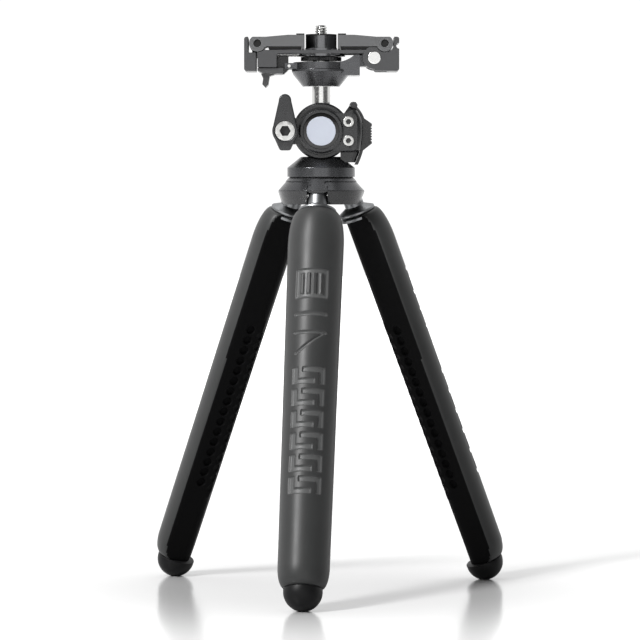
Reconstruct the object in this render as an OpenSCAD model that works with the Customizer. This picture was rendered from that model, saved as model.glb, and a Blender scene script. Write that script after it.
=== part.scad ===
// Table tripod with three wire-cored flexible legs, a locking ball head and a
// flip-up camera plate whose two jaws fold out to hold a phone.
// Millimetres. The origin is on the floor under the hub, +Z is up and the
// front of the head looks along -Y. Sizes are stated for the standing tripod.

/* [Clearances] */
// Radial gap of a pin that turns in its bore
run_gap = 0.05; // [0.03:0.01:0.1]
// Gap between pieces that are assembled and stay put
seat_gap = 0.04; // [0.02:0.01:0.08]
// Gap between pieces that move past each other
move_gap = 0.35; // [0.25:0.05:0.4]

/* [Legs] */
// Lean of a leg from the vertical as the tripod stands
splay = 22; // [18:1:26]
// Turn of the three legs about the hub, away from the head's front
leg_turn = 5.4; // [0:0.1:30]
// Distance of a leg's hinge from the hub's axis
pivot_r = 16.9; // [16.5:0.1:18]
// Length from a leg's hinge to the centre of its foot
leg_reach = 210.2; // [200:0.2:240]
// Diameter of the metal stem
stem_d = 10; // [9:0.1:10.6]
// Length of the bare stem below the hinge
stem_len = 8.5; // [7:0.1:10]
// Diameter of the stem's flared collar
collar_d = 19.4; // [17:0.1:21]
// Height of the stem's flared collar
collar_h = 3.9; // [3:0.1:6]
// Height of the straight rim of the collar
collar_rim = 1.2; // [0.8:0.1:1.6]
// Diameter of the spigot that holds the wires inside the sleeve
spigot_d = 9; // [8:0.1:10]
// Length of the spigot inside the sleeve
spigot_len = 16; // [10:1:22]
// Greatest diameter of the rubber sleeve, below its shoulder
sleeve_d = 28.8; // [27:0.1:30]
// Diameter of the rubber sleeve above its toe
sleeve_low_d = 26; // [25:0.1:28]
// Length of the rounded shoulder
shoulder_len = 15.6; // [10:0.2:22]
// Length of the rounded toe
toe_len = 10.5; // [8:0.2:16]
// Diameter of the sleeve where it meets the foot
toe_d = 18; // [16:0.1:19]
// Depth of the sleeve's inner edge from the line of the wires
edge_depth = 8; // [7.6:0.1:8.6]
// Height that is trimmed off the inner edge, above and below the grip
edge_trim = 1; // [0.6:0.1:1.4]
// Height that is trimmed off the inner edge along the grip
grip_trim = 0.25; // [0.2:0.05:0.5]
// Start of the raised grip, from the hinge
grip_start = 69; // [60:0.5:75]
// Length of the raised grip
grip_len = 102; // [98:0.5:108]
// Number of round recesses along each flat of the grip
recess_count = 16; // [8:1:16]
// Distance between two recesses
recess_pitch = 5.87; // [5.4:0.01:6]
// Diameter of a recess
recess_d = 4.7; // [4:0.1:5]
// Depth of a recess
recess_depth = 1.8; // [1:0.1:2]
// Distance of the recesses from the inner edge, along the flat
recess_inset = 7.1; // [6:0.1:8]
// Place of the bend, from the hinge
bend_at = 121; // [112:1:130]
// Length of the stretch that bends
bend_len = 24; // [22:1:30]
// Diameter of one core wire
wire_d = 2.1; // [1.8:0.05:2.2]
// Number of core wires round the middle one
wire_ring = 6; // [4:1:6]
// Free length between the wires and the foot's peg
wire_end_gap = 1; // [0.5:0.1:3]

/* [Feet] */
// Diameter of the domed foot
foot_d = 19.6; // [18.5:0.1:21]
// Height of the straight rim above the dome
foot_rim = 1.3; // [0.8:0.1:2.5]
// Depth of the worn flat under the dome
foot_flat = 0.3; // [0.2:0.05:0.6]
// Diameter of the peg that holds the foot in the sleeve
peg_d = 6.4; // [5:0.1:6.6]
// Length of that peg
peg_len = 9; // [6:0.5:14]

/* [Hub] */
// Radius of the hub's top
hub_top_r = 16.8; // [16:0.1:18]
// Greatest radius of the hub, where its two halves meet
hub_r = 22.5; // [22:0.1:24]
// Radius of the hub's lower edge
hub_low_r = 20.5; // [19.5:0.1:21.5]
// Height of the hub's top above the leg hinges
hub_rise = 9; // [8:0.1:11]
// Height of the joint between the hub's halves above the leg hinges
hub_split = 2.4; // [2:0.1:3]
// Depth of the hub's lower edge below the leg hinges
hub_drop = 4.8; // [4:0.1:6]
// Height of the upright band at the hub's widest place
hub_edge = 0.8; // [0.5:0.1:1.2]
// Width of the plain field above each leg
field_w = 17; // [15:0.2:19]
// Depth of the panels between the legs
panel_depth = 0.4; // [0.2:0.05:0.6]
// Width of the plain band above the panels
panel_band = 2; // [1.5:0.1:3]
// Corner radius of a panel
panel_corner = 2.2; // [1:0.1:3]
// Diameter of a leg's hinge pin
leg_pin_d = 3; // [2.5:0.1:3.4]
// Length of a leg's hinge pin
leg_pin_len = 18; // [16:0.5:19]
// Diameter of the bolt through the hub
bolt_d = 6; // [5:0.1:6.4]
// Diameter of that bolt's head
bolt_head_d = 10; // [9:0.1:11]
// Height of that bolt's head
bolt_head_h = 4; // [3:0.1:5]
// Length of the bolt inside the pan base
bolt_grip = 7; // [5:0.5:8]
// Thickness of the washers above and below the hub
washer_t = 0.4; // [0.3:0.05:0.8]

/* [Ball head] */
// Radius of the pan base
pan_r = 17.5; // [16.5:0.1:18.5]
// Height of the pan base's upright rim
pan_rim_h = 4.7; // [4:0.1:6]
// Radius of the pan base's neck
pan_neck_r = 10.5; // [9.8:0.1:11.5]
// Height of the pan base's sloping shoulder
pan_cone_h = 5.7; // [5:0.1:7]
// Height of the ball's centre above the pan base
ball_rise = 23.5; // [23.2:0.1:25]
// Diameter of the ball
ball_d = 22; // [20:0.1:22.4]
// Radius of the round housing
case_r = 14.65; // [14.2:0.05:15.2]
// Depth of the housing in front of the ball's centre, to the outer rim
case_front = 9.2; // [8.6:0.1:9.8]
// Depth of the housing behind the ball's centre
case_back = 12.6; // [12:0.1:14]
// Radius of the raised bezel
bezel_r = 11.55; // [11.2:0.05:11.8]
// Depth of the bezel's face in front of the ball's centre
bezel_front = 13.4; // [13:0.1:14.4]
// Radius of the bezel's opening
badge_r = 9.4; // [8.6:0.1:9.8]
// Radius of the disc in the bezel
disc_r = 7.5; // [6.5:0.1:8]
// Thickness of the ring and the disc in the bezel
badge_t = 0.9; // [0.6:0.05:1]
// Width of the groove round the bezel
bezel_groove = 0.8; // [0.4:0.05:1]
// Bevel round the bezel and round the housing's front
bezel_bevel = 0.9; // [0.6:0.1:1]
// Bevel round the housing's back
back_bevel = 2.4; // [1.5:0.1:3]
// Depth of the disc's face below the bezel's face
disc_sink = 0.15; // [0.1:0.05:0.3]
// Depth of the ring's outer edge below the bezel's face
ring_sink = 0.5; // [0.4:0.05:0.6]
// Half the gap between the front and rear shells
shell_gap = 0.25; // [0.15:0.05:0.4]
// Half the angle of the slot for the stem, from the vertical
slot_angle = 58; // [56:1:62]
// Width of the tongue that the shells grip
tongue_w = 17; // [15:0.5:18]
// Thickness of the tongue that the shells grip
tongue_t = 6; // [5:0.1:7]
// Thickness of the seat under the ball
seat_t = 1.6; // [1.2:0.1:2]
// Depth of the seat's upper edge below the ball's centre
seat_drop = 6.6; // [6.2:0.1:7.2]
// Distance of the right ear's edge from the ball's centre
ear_x = 18.5; // [17.5:0.1:19]
// Height of the right ear's top above the ball's centre
ear_top = 9.2; // [8.5:0.1:10]
// Depth of the right ear's bottom below the ball's centre
ear_drop = 10; // [9:0.1:10.5]
// Corner radius of the right ear
ear_corner = 2.6; // [1.5:0.1:3.5]
// Depth of the ears behind the ball's centre
ear_back = 8; // [7:0.1:9]
// Distance of the two small screws from the ball's centre, sideways
shell_screw_x = 14.1; // [13.8:0.1:14.4]
// Distance of each small screw above and below the middle
shell_screw_z = 4.9; // [4.4:0.1:5.4]
// Diameter of a small screw
shell_screw_d = 3; // [2.6:0.1:3]
// Diameter of a small screw's head
shell_head_d = 5.5; // [5:0.1:5.8]
// Height of a small screw's head
shell_head_h = 3; // [2.4:0.1:3.2]
// Depth of the small screw heads' seat behind the ear's face
shell_head_sink = 2.2; // [1.5:0.1:2.8]
// Width of the hexagon socket in a small screw
shell_hex = 2.5; // [2:0.1:2.6]

/* [Lock lever] */
// Distance of the lock screw from the ball's centre, sideways
lock_x = 18.5; // [18.2:0.1:19.5]
// Length of the lever from its screw to its tip
lever_len = 18.9; // [16:0.1:19.2]
// Length of the lever's short end
lever_tail = 10; // [8.5:0.1:11]
// Half the width of the lever's short end
lever_tail_r = 3; // [2.6:0.1:3.4]
// Bevel at the corners of the lever's short end
lever_tail_bevel = 0.7; // [0.4:0.1:1.2]
// Half the width of the lever at its screw
lever_hub_r = 6.6; // [6.2:0.1:7]
// Half the width of the lever at its tip
lever_tip_r = 3.2; // [2.6:0.1:3.6]
// Thickness of the lever
lever_t = 5; // [4.2:0.1:5.4]
// Depth of the left ear's face in front of the ball's centre
lock_ear_front = 10.2; // [9.6:0.1:10.4]
// Half the height of the left ear
lock_ear_h = 6.7; // [6:0.1:7.5]
// Radius of the left ear's boss, which the lever turns on
lock_boss_r = 5.4; // [5.2:0.1:6]
// Diameter of the lock screw
lock_d = 6; // [5:0.1:6.4]
// Diameter of the lock screw's head
lock_head_d = 10; // [9:0.1:10.4]
// Height of the lock screw's head
lock_head_h = 2.6; // [2:0.1:3.2]
// Width of the hexagon socket in the lock screw
lock_hex = 5; // [4:0.1:5.4]
// Metal left under the lock screw's socket
lock_floor = 0.65; // [0.4:0.05:0.9]
// Width across the flats of the lock nut
nut_w = 10; // [9:0.1:10.4]
// Thickness of the lock nut
nut_t = 4; // [3:0.1:4.6]

/* [Thumb lock] */
// Inner radius of the curved thumb lock
paddle_r = 38; // [34:0.5:42]
// Distance of the thumb lock's inside from the ball's centre, sideways
paddle_x = 21.3; // [20.8:0.1:22]
// Thickness of the thumb lock
paddle_t = 1.6; // [1.3:0.1:2]
// Height of the thumb lock's upper end above the ball's centre
paddle_top = 13.6; // [13:0.1:14.2]
// Depth of the thumb lock's lower end below the ball's centre
paddle_drop = 17.2; // [15:0.1:17.6]
// Half the depth of the thumb lock, front to back
paddle_half = 5.5; // [4.5:0.1:6.5]
// Height of the ribbed thumb rest
rest_h = 13; // [10:0.5:15]
// Reach of the thumb rest beyond the curved plate
rest_reach = 3.4; // [2.5:0.1:4]
// Number of grooves in the thumb rest
rest_grooves = 5; // [3:1:5]
// Bevel along the edges of the thumb rest
rest_bevel = 0.6; // [0.4:0.1:1]
// Diameter of the thumb lock's hinge pin
paddle_pin_d = 1.6; // [1.4:0.1:2]
// Radius of the thumb lock's hinge eye
paddle_eye_r = 1.9; // [1.8:0.1:2.2]
// Distance of the thumb lock's hinge from the ball's centre, sideways
paddle_pin_x = 16.6; // [16.2:0.1:17]

/* [Plate base] */
// Diameter of the neck between the ball and the plate base
neck_d = 9.5; // [8.6:0.1:9.8]
// Height of the plate base's underside above the ball's centre
neck_rise = 23.2; // [22.8:0.1:26]
// Diameter of the neck's spigots, in the ball and in the plate base
neck_spigot_d = 6; // [5:0.1:7]
// Length of the neck's spigot inside the ball
neck_spigot_len = 7; // [5:0.1:9]
// Radius of the plate base's underside
bowl_low_r = 9.6; // [9:0.1:10.5]
// Radius of the plate base's rim
bowl_r = 15.7; // [15.2:0.1:16.2]
// Height of the plate base's cone
bowl_cone_h = 7.6; // [7:0.1:8.4]
// Height of the plate base's rim below its top
bowl_rim_h = 4.8; // [4.4:0.1:5.4]
// Height of the rim's upright band
bowl_band = 0.9; // [0.6:0.1:1.2]
// Height of the slope from that band in to the rim's upper part
bowl_step = 0.4; // [0.3:0.1:0.8]
// Radius of the plate base's top
bowl_top_r = 14.4; // [13.8:0.1:15]
// Half the depth of the plate base's arm, front to back
arm_half = 10.5; // [9:0.1:12]
// Reach of the plate base's arm from the middle
arm_x = 19.9; // [19:0.1:20.2]
// Height of the arm's fin above the plate base's top
fin_rise = 3.7; // [3:0.1:3.8]
// Thickness of the arm's fin
fin_w = 3.2; // [2.8:0.1:3.6]
// Bevel along the fin's upper edge
fin_bevel = 0.4; // [0.2:0.1:0.6]
// Radius of the sweep up to the fin
fin_sweep_r = 14; // [11:0.5:18]
// Length of the sweep up to the fin
fin_sweep_len = 9; // [8:0.1:9.6]
// Depth of the arm's underside below the plate base's top
arm_drop = 6.9; // [6.2:0.1:7.4]
// Diameter of the screw head on the plate base
base_head_d = 9.4; // [8.5:0.1:10]
// Height of the screw head on the plate base
base_head_h = 1.1; // [0.8:0.05:1.2]
// Diameter of that screw
base_screw_d = 4.7; // [4:0.1:5]
// Width of the hexagon socket in that screw
base_hex = 3.5; // [3:0.1:4]

/* [Hinge] */
// Diameter of the plate's hinge pin
hinge_d = 6.8; // [6:0.1:7]
// Distance of the plate's hinge from the middle
hinge_x = 27.3; // [27:0.1:27.8]
// Height of the plate's hinge above the plate base's top
hinge_rise = 2.1; // [1.8:0.1:2.3]
// Radius of the knuckle round the hinge pin
knuckle_r = 4.4; // [4.2:0.1:4.4]
// Half the depth of the middle knuckle
knuckle_half = 6; // [5:0.1:6.4]
// Height of the web between the fin and the knuckle, above the hinge
knuckle_web = 1.6; // [1.2:0.1:1.6]
// Radius of the outer ears round the hinge pin
hinge_ear_r = 5.95; // [5.7:0.05:6.2]

/* [Camera plate] */
// Half the depth of the camera plate, front to back
plate_half = 13; // [12.6:0.1:13.6]
// Reach of the plate's right end from the middle
plate_x = 40.1; // [39.6:0.1:41]
// Depth of the plate's right end below the plate base's top
plate_drop = 4.7; // [4.2:0.1:4.9]
// Height of the plate's end walls above the plate base's top
wall_rise = 12.8; // [12.2:0.1:13.2]
// Corner radius of the plate's end walls
wall_corner = 1.2; // [0.8:0.1:1.4]
// Distance of the middle flange's rim from the plate's sides
flange_margin = 0.5; // [0.2:0.05:0.8]
// Height of the flange's underside above the plate base's top
flange_rise = 3.05; // [2.95:0.05:3.15]
// Height of the flange's top above the plate base's top
flange_top = 7; // [6.8:0.05:7.2]
// Diameter of the middle column
column_d = 16; // [15:0.1:16.2]
// Height of the column's top above the plate base's top
column_rise = 13.8; // [13.4:0.1:14.2]
// Thickness of the rubber pads on top
pad_t = 0.7; // [0.5:0.05:1]
// Thickness of the plate's side bars, front to back
bar_t = 1.5; // [1.2:0.05:1.5]
// Height of the side bars' underside above the plate base's top
bar_rise = 4.3; // [4.2:0.05:4.5]
// Left end of the side bars, from the middle
bar_x = 32.7; // [32.2:0.1:32.9]
// Width of the side bars' feet
bar_foot_w = 9.8; // [8:0.1:11]
// Height of the side bars' feet below the plate base's top
bar_foot_drop = 2.8; // [2.6:0.05:3]
// Radius of the fillet beside the side bars' feet
bar_fillet = 1.6; // [1:0.1:1.8]
// Radius of the notch in the plate's right wall
wall_notch_r = 1.5; // [1:0.1:1.8]
// Height of that notch above the plate base's top
wall_notch_rise = 8.2; // [7.8:0.1:8.6]
// Diameter of the camera screw
screw_d = 6.35; // [6:0.05:6.35]
// Diameter of the camera screw's shank, below its thread
screw_shank_d = 5; // [4.6:0.1:5.2]
// Length of the camera screw above the pad
screw_out = 4.6; // [4:0.1:6]
// Bevel at the camera screw's tip
screw_tip = 0.6; // [0.4:0.1:0.8]
// Diameter of the wheel that turns the camera screw
wheel_d = 21; // [19:0.1:22]
// Thickness of that wheel
wheel_t = 1.1; // [0.9:0.05:1.2]

/* [Phone jaws] */
// Distance of a jaw's hinge from the middle
jaw_x = 32.75; // [32.5:0.05:33]
// Height of a jaw's hinge above the plate base's top
jaw_rise = 9.4; // [9.3:0.05:9.6]
// Radius of a jaw's hinge end
jaw_r = 4.3; // [4:0.05:4.35]
// Height of a jaw's underside above the plate base's top
jaw_low = 7.8; // [7.6:0.05:8]
// Height of a jaw's top at its tip, above the plate base's top
jaw_top = 13.8; // [13.4:0.1:14.2]
// Height of a jaw's top at its hinge, above the plate base's top
jaw_end_top = 12.8; // [12.4:0.1:13.2]
// Distance of a jaw's tip from the middle
jaw_tip_x = 8.6; // [8.5:0.05:9]
// Width of the lip under a jaw's tip
lip_w = 1.4; // [1:0.1:2]
// Height of the lip's edge above the plate base's top
lip_low = 6.4; // [6.35:0.05:6.6]
// Diameter of a jaw's hinge pin
jaw_pin_d = 3; // [2.6:0.1:3]
// Diameter of the heads on a jaw's hinge pin
jaw_pin_head_d = 3.8; // [3.4:0.1:4.2]
// Height of those heads
jaw_pin_head_h = 1.4; // [1.2:0.1:1.6]
// Depth of those heads below the jaw's side
jaw_pin_sink = 0.8; // [0.4:0.1:1.2]
// Half the thickness of the lug that holds a jaw
lug_half = 2.9; // [2.4:0.1:3.2]
// Radius of the lug that holds a jaw
lug_r = 2.9; // [2.7:0.05:3]
// Thickness of the rubber grip under a jaw
grip_t = 0.6; // [0.4:0.05:0.8]
// Length of the rubber grip under a jaw
grip_w = 14; // [10:0.5:15]
// Distance of the rubber grip from the lip
grip_inset = 1; // [0.6:0.1:1.4]
// Distance of the rubber grip from the jaw's sides
grip_margin = 3; // [2:0.1:4]
// Reach of the raised pad on a jaw's tip
tip_pad_w = 4.2; // [3:0.1:5]
// Distance of the raised pad from the jaw's sides
tip_pad_margin = 1; // [0.6:0.1:2]
// Reach of the left carrier's outer wall from the middle
carrier_x = 39.6; // [39.2:0.1:40.4]
// Inner face of the left carrier's block, from the middle
carrier_in_x = 33.4; // [33.2:0.05:33.6]
// Height of the webs that join the carrier's block to its rails
rail_web_h = 1.6; // [1.2:0.1:1.8]
// Thickness of the carrier's rails, front to back
rail_t = 2.6; // [2:0.1:2.7]
// Height of the carrier's rails
rail_h = 1.9; // [1.6:0.05:1.9]
// Right end of the carrier's rails, from the middle
rail_x = 19.5; // [18:0.1:20]
// Diameter of the two draw springs
spring_d = 1.7; // [1.4:0.05:1.8]
// Diameter of the springs' wire
spring_wire = 0.35; // [0.3:0.05:0.4]
// Turns of a draw spring
spring_turns = 12; // [8:1:14]

/* [Latch] */
// Distance of the latch's hinge from the middle
latch_x = 16.5; // [16.3:0.1:16.8]
// Depth of the latch's hinge below the plate base's top
latch_drop = 2; // [1.8:0.1:2.2]
// Diameter of the latch's hinge pin
latch_pin_d = 1.6; // [1.4:0.1:2]
// Radius of the latch's hinge eye
latch_eye_r = 1.5; // [1.4:0.05:1.6]
// Half the thickness of the latch's hinge eye
latch_eye_half = 4; // [3:0.1:4.5]
// Thickness of the lugs that hold the latch's pin
latch_lug_t = 3; // [2.5:0.1:3.4]
// Reach of those lugs beyond the pin
latch_lug_reach = 2.3; // [1.8:0.1:2.4]
// Length of the spring round the latch's pin
latch_spring_len = 3.2; // [3:0.1:3.6]
// Turns of that spring
latch_turns = 3; // [2:1:3]
// Thickness of the latch's plate
latch_t = 3; // [2.6:0.1:3.2]
// Half the depth of the latch's plate, front to back
latch_half = 12; // [11:0.1:12.6]
// Bevel at the left end of the latch's plate, upward
latch_bevel = 1.6; // [1:0.1:2]
// Bevel at the left end of the latch's plate, sideways
latch_bevel_x = 3.4; // [2:0.1:4]
// Distance of the finger tab from the middle
tab_x = 28.8; // [28:0.1:29.4]
// Half the thickness of the finger tab at its root
tab_w = 2.2; // [1.8:0.1:2.4]
// Length of the latch's finger tab
tab_len = 7; // [5:0.1:7.5]
// Half the depth of the finger tab, front to back
tab_half = 7; // [5:0.1:9]

/* [Hidden] */

$fn = 64;
slack = 0.5;
// Overlap of two forms that make one piece
lap = 0.1;

// Heights of the groups above the floor
pivot_z = foot_d / 2 - foot_flat + leg_reach * cos(splay);
hub_top_z = pivot_z + hub_rise;
split_z = pivot_z + hub_split;
hub_low_z = pivot_z - hub_drop;
pan_z = hub_top_z + washer_t;
ball_z = pan_z + ball_rise;
base_z = ball_z + neck_rise;
top_z = base_z + bowl_cone_h + bowl_rim_h;

// Sizes along a leg, measured from its hinge
collar_at = stem_len + collar_h;
sleeve_end = leg_reach - foot_rim;
bundle_r = wire_d * 1.5 + 2 * seat_gap;
core_r = max(bundle_r, peg_d / 2) + seat_gap;
bend_top = bend_at - bend_len / 2;
bend_low = bend_at + bend_len / 2;
recess_first = grip_start + (grip_len - (recess_count - 0.5) * recess_pitch) / 2;
flat_angle = 60;
flat_dist = edge_depth * sin(flat_angle);

// Sizes of the ball head
ball_r = ball_d / 2;
socket_r = ball_r + move_gap / 2;
slot_half = neck_d / 2 + move_gap;
lever_back = bezel_front + move_gap;
lever_front = lever_back + lever_t;
ear_front = bezel_front - bezel_bevel;
neck_low = sqrt(pow(ball_r, 2) - pow(neck_d / 2, 2)) - lap;

// Sizes of the camera plate, measured from the plate base's top
bar_in = plate_half - bar_t;
rail_out = bar_in - move_gap;
rail_in = rail_out - rail_t;
bar_top = lip_low - move_gap;
rail_top = bar_top;
rail_low = rail_top - rail_h;
ear_in = knuckle_half + move_gap;
jaw_cut_r = jaw_r + move_gap;
wall_in = jaw_x + jaw_cut_r + lap;
rail_dip = jaw_rise - jaw_cut_r;
block_top = rail_dip - seat_gap;
pad_top = column_rise + pad_t;
wheel_top = flange_rise - move_gap;
latch_top = -bar_foot_drop - move_gap;
latch_low = latch_top - latch_t;
latch_coil_r = (latch_pin_d / 2 + latch_eye_r + move_gap) / 2;
flange_r = plate_half - flange_margin;
flange_edge_x = sqrt(pow(flange_r, 2) - pow(rail_in - move_gap - spring_d, 2));
carrier_spring_l = carrier_in_x - flange_edge_x - spring_wire - 2 * seat_gap;

// Azimuth of a leg, from +X
function azimuth(i) = 270 - leg_turn + 120 * (i - 1);

// The outline's (x, z) carried along Y, from y0 to y1
module along_y(y0, y1) {
  translate([0, y1, 0]) rotate([90, 0, 0]) linear_extrude(y1 - y0) children();
}

// The same outline at the front and at the back, between two depths
module both_sides(inner, outer) {
  along_y(-outer, -inner) children();
  along_y(inner, outer) children();
}

// A round bar along Y, between two depths
module rod_y(r, y0, y1) {
  translate([0, y0, 0]) rotate([-90, 0, 0]) cylinder(r = r, h = y1 - y0);
}

// A revolved (radius, depth) outline about the Y axis, with its depth to the front
module revolve_y() {
  rotate([90, 0, 0]) rotate_extrude() children();
}

// A rectangle between two corners
module box_outline(x0, z0, x1, z1) {
  translate([min(x0, x1), min(z0, z1)]) square([abs(x1 - x0), abs(z1 - z0)]);
}

// A rectangle with four round corners
module round_outline(x0, z0, x1, z1, r) {
  box_outline(x0 + r, z0, x1 - r, z1);
  box_outline(x0, z0 + r, x1, z1 - r);
  for (x = [x0 + r, x1 - r], z = [z0 + r, z1 - r])
    translate([x, z]) circle(r);
}

// Centre of a coil's wire at step k, with eight steps a turn
function coil_centre(r, height, turns, k) =
  [r * cos(45 * k), r * sin(45 * k), height * k / (8 * turns)];

// Least gap between one turn of a coil and the next
function coil_gap(r, wire, turns, height) =
  min([for (k = [0:8 * turns - 8]) for (j = [k + 5:min(k + 11, 8 * turns)])
    norm(coil_centre(r, height, turns, j) - coil_centre(r, height, turns, k))]) - wire;

// A coil spring along Z as one tube
module coil(r, wire, turns, height) {
  rings = 8 * turns;
  sides = 6;
  points = [for (k = [0:rings], j = [0:sides - 1])
    let (c = coil_centre(r, height, turns, k), b = 360 * j / sides, across = 1 + wire / 2 * cos(b) / r)
    [c[0] * across, c[1] * across, c[2] + wire / 2 * sin(b)]];
  skin = [for (k = [0:rings - 1], j = [0:sides - 1])
    let (a = k * sides + j, b = k * sides + (j + 1) % sides)
    each [[a, a + sides, b], [b, a + sides, b + sides]]];
  first = [for (j = [1:sides - 2]) [0, j, j + 1]];
  last = [for (j = [1:sides - 2]) [rings * sides, rings * sides + j + 1, rings * sides + j]];
  polyhedron(points, concat(skin, first, last));
}

echo(latch_spring_gap = coil_gap(latch_coil_r, spring_wire, latch_turns, latch_spring_len));
echo(carrier_spring_gap =
  coil_gap((spring_d - spring_wire) / 2, spring_wire, spring_turns, carrier_spring_l));

// Places a leg's own frame: its Z runs down the leg from the hinge, +X points inward
module on_leg(i) {
  rotate([0, 0, azimuth(i)]) translate([pivot_r, 0, pivot_z]) rotate([0, 180 - splay, 0]) children();
}

module on_ball() {
  translate([0, 0, ball_z]) children();
}

module on_base() {
  translate([0, 0, top_z]) children();
}

// Hub

// The pocket in which a leg's stem swings, from upright to its stop
module stem_pocket(i) {
  half = stem_d / 2 + move_gap;
  reach = half - seat_gap;
  out = [cos(splay), sin(splay)] * reach;
  down = [sin(splay), -cos(splay)] * 3 * hub_r;
  rotate([0, 0, azimuth(i)]) translate([pivot_r, 0, pivot_z]) {
    rod_y(half, -half, half);
    along_y(-half, half) polygon([[-reach, 0], [-reach, down[1]], out + down, out, [0, 0]]);
  }
}

module leg_pin(i, r, half) {
  rotate([0, 0, azimuth(i)]) translate([pivot_r, 0, pivot_z]) rod_y(r, -half, half);
}

// The outer face of the hub between two legs, one panel deep
module hub_panel(i) {
  half_turn = 60;
  half_w = hub_r * sin(half_turn) - field_w / 2 * cos(half_turn);
  rotate([0, 0, azimuth(i) + half_turn]) rotate([0, 0, 90]) difference() {
    along_y(-2 * hub_r, 0)
      round_outline(-half_w, hub_low_z - 2 * hub_drop, half_w, hub_top_z - panel_band, panel_corner);
    hub_solid(panel_depth);
  }
}

// The hub's outer form, drawn in by a depth; a form drawn in also runs past the foot and the split
module hub_solid(depth) {
  low_z = hub_low_z - (depth > 0 ? slack : 0);
  shoulder_z = split_z + (depth > 0 ? seat_gap : 0);
  rotate_extrude() polygon([
    [0, low_z],
    [hub_low_r - depth, low_z],
    [hub_r - depth, split_z - hub_edge],
    [hub_r - depth, shoulder_z],
    [hub_top_r - depth, hub_top_z],
    [0, hub_top_z]]);
}

module hub_cuts() {
  for (i = [1:3]) {
    stem_pocket(i);
    leg_pin(i, leg_pin_d / 2 + seat_gap, leg_pin_len / 2 + seat_gap);
    hub_panel(i);
  }
  translate([0, 0, hub_low_z - slack])
    cylinder(d = bolt_d + 2 * run_gap, h = hub_top_z - hub_low_z + 2 * slack);
}

// Lower half of the hub, with the arched notches for the legs
module hub_skirt() {
  groove_w = leg_pin_d + seat_gap;
  groove_l = leg_pin_len + 2 * seat_gap;
  color("#2b2c2e") difference() {
    intersection() {
      hub_solid(0);
      translate([0, 0, hub_low_z]) cylinder(r = 2 * hub_r, h = split_z - hub_low_z);
    }
    hub_cuts();
    for (i = [1:3])
      rotate([0, 0, azimuth(i)]) translate([pivot_r - groove_w / 2, -groove_l / 2, pivot_z])
        cube([groove_w, groove_l, hub_split + slack]);
    translate([0, 0, hub_low_z - slack])
      cylinder(d = bolt_head_d + 2 * move_gap, h = slack + bolt_head_h + washer_t);
  }
}

// Upper half of the hub: its tongues close the grooves of the hinge pins
module hub_cap() {
  tongue = leg_pin_d - 2 * seat_gap;
  rest_z = pivot_z + leg_pin_d / 2 + seat_gap;
  color("#3a3b3d") difference() {
    union() {
      intersection() {
        hub_solid(0);
        translate([0, 0, split_z]) cylinder(r = 2 * hub_r, h = hub_top_z - split_z);
      }
      for (i = [1:3])
        rotate([0, 0, azimuth(i)]) translate([pivot_r - tongue / 2, -leg_pin_len / 2, rest_z])
          cube([tongue, leg_pin_len, split_z - rest_z + slack]);
    }
    hub_cuts();
  }
}

module leg_hinge_pins() {
  color("silver") for (i = [1:3])
    leg_pin(i, leg_pin_d / 2, leg_pin_len / 2);
}

// Bolt that hangs the hub on the pan base and lets the base turn
module hub_bolt() {
  head_z = hub_low_z;
  socket_w = bolt_head_d / 2;
  color("dimgray") difference() {
    union() {
      translate([0, 0, head_z]) cylinder(d = bolt_head_d, h = bolt_head_h);
      translate([0, 0, head_z]) cylinder(d = bolt_d, h = pan_z + bolt_grip - head_z);
    }
    translate([0, 0, head_z - slack]) cylinder(d = socket_w / cos(30), h = bolt_head_h / 2 + slack, $fn = 6);
  }
}

// Low-friction washers above the hub and over the bolt's head
module hub_washers() {
  color("#1a1a1a") {
    translate([0, 0, hub_top_z]) difference() {
      cylinder(r = hub_top_r - move_gap, h = washer_t);
      translate([0, 0, -slack]) cylinder(d = bolt_d + 2 * run_gap, h = washer_t + 2 * slack);
    }
    translate([0, 0, hub_low_z + bolt_head_h]) difference() {
      cylinder(d = bolt_head_d, h = washer_t);
      translate([0, 0, -slack]) cylinder(d = bolt_d + 2 * run_gap, h = washer_t + 2 * slack);
    }
  }
}

// Legs

// Metal stem: rounded hinge end, bare shank, flared collar and hollow spigot
module leg_stem(i) {
  color("silver") on_leg(i) difference() {
    union() {
      sphere(d = stem_d);
      cylinder(d = stem_d, h = stem_len + slack);
      translate([0, 0, stem_len]) cylinder(d1 = stem_d, d2 = collar_d, h = collar_h - collar_rim);
      translate([0, 0, collar_at - collar_rim]) cylinder(d = collar_d, h = collar_rim);
      translate([0, 0, stem_len]) cylinder(d = spigot_d, h = collar_h + spigot_len);
    }
    rod_y(leg_pin_d / 2 + run_gap, -stem_d, stem_d);
    translate([0, 0, collar_at]) cylinder(r = core_r, h = spigot_len + slack);
  }
}

// Bundle of soft wires that holds the bend of the leg
module leg_wires(i) {
  end = sleeve_end - peg_len - wire_end_gap;
  color("gainsboro") on_leg(i) translate([0, 0, collar_at]) {
    cylinder(d = wire_d, h = end - collar_at, $fn = 24);
    for (k = [1:wire_ring])
      rotate([0, 0, 360 * k / wire_ring]) translate([wire_d + 2 * seat_gap, 0, 0])
        cylinder(d = wire_d, h = end - collar_at, $fn = 24);
  }
}

// Half outline of the sleeve: rounded shoulder, slight taper and rounded toe
module sleeve_outline() {
  steps = 6;
  top_r = collar_d / 2;
  low_r = toe_d / 2;
  full_r = sleeve_d / 2;
  thin_r = sleeve_low_d / 2;
  shoulder = [for (k = [0:steps]) let (a = 90 * k / steps)
    [top_r + (full_r - top_r) * sin(a), collar_at + shoulder_len * (1 - cos(a))]];
  toe = [for (k = [0:steps]) let (a = 90 * k / steps)
    [low_r + (thin_r - low_r) * cos(a), sleeve_end - toe_len * (1 - sin(a))]];
  polygon(concat([[0, collar_at]], shoulder, toe, [[0, sleeve_end]]));
}

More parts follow.
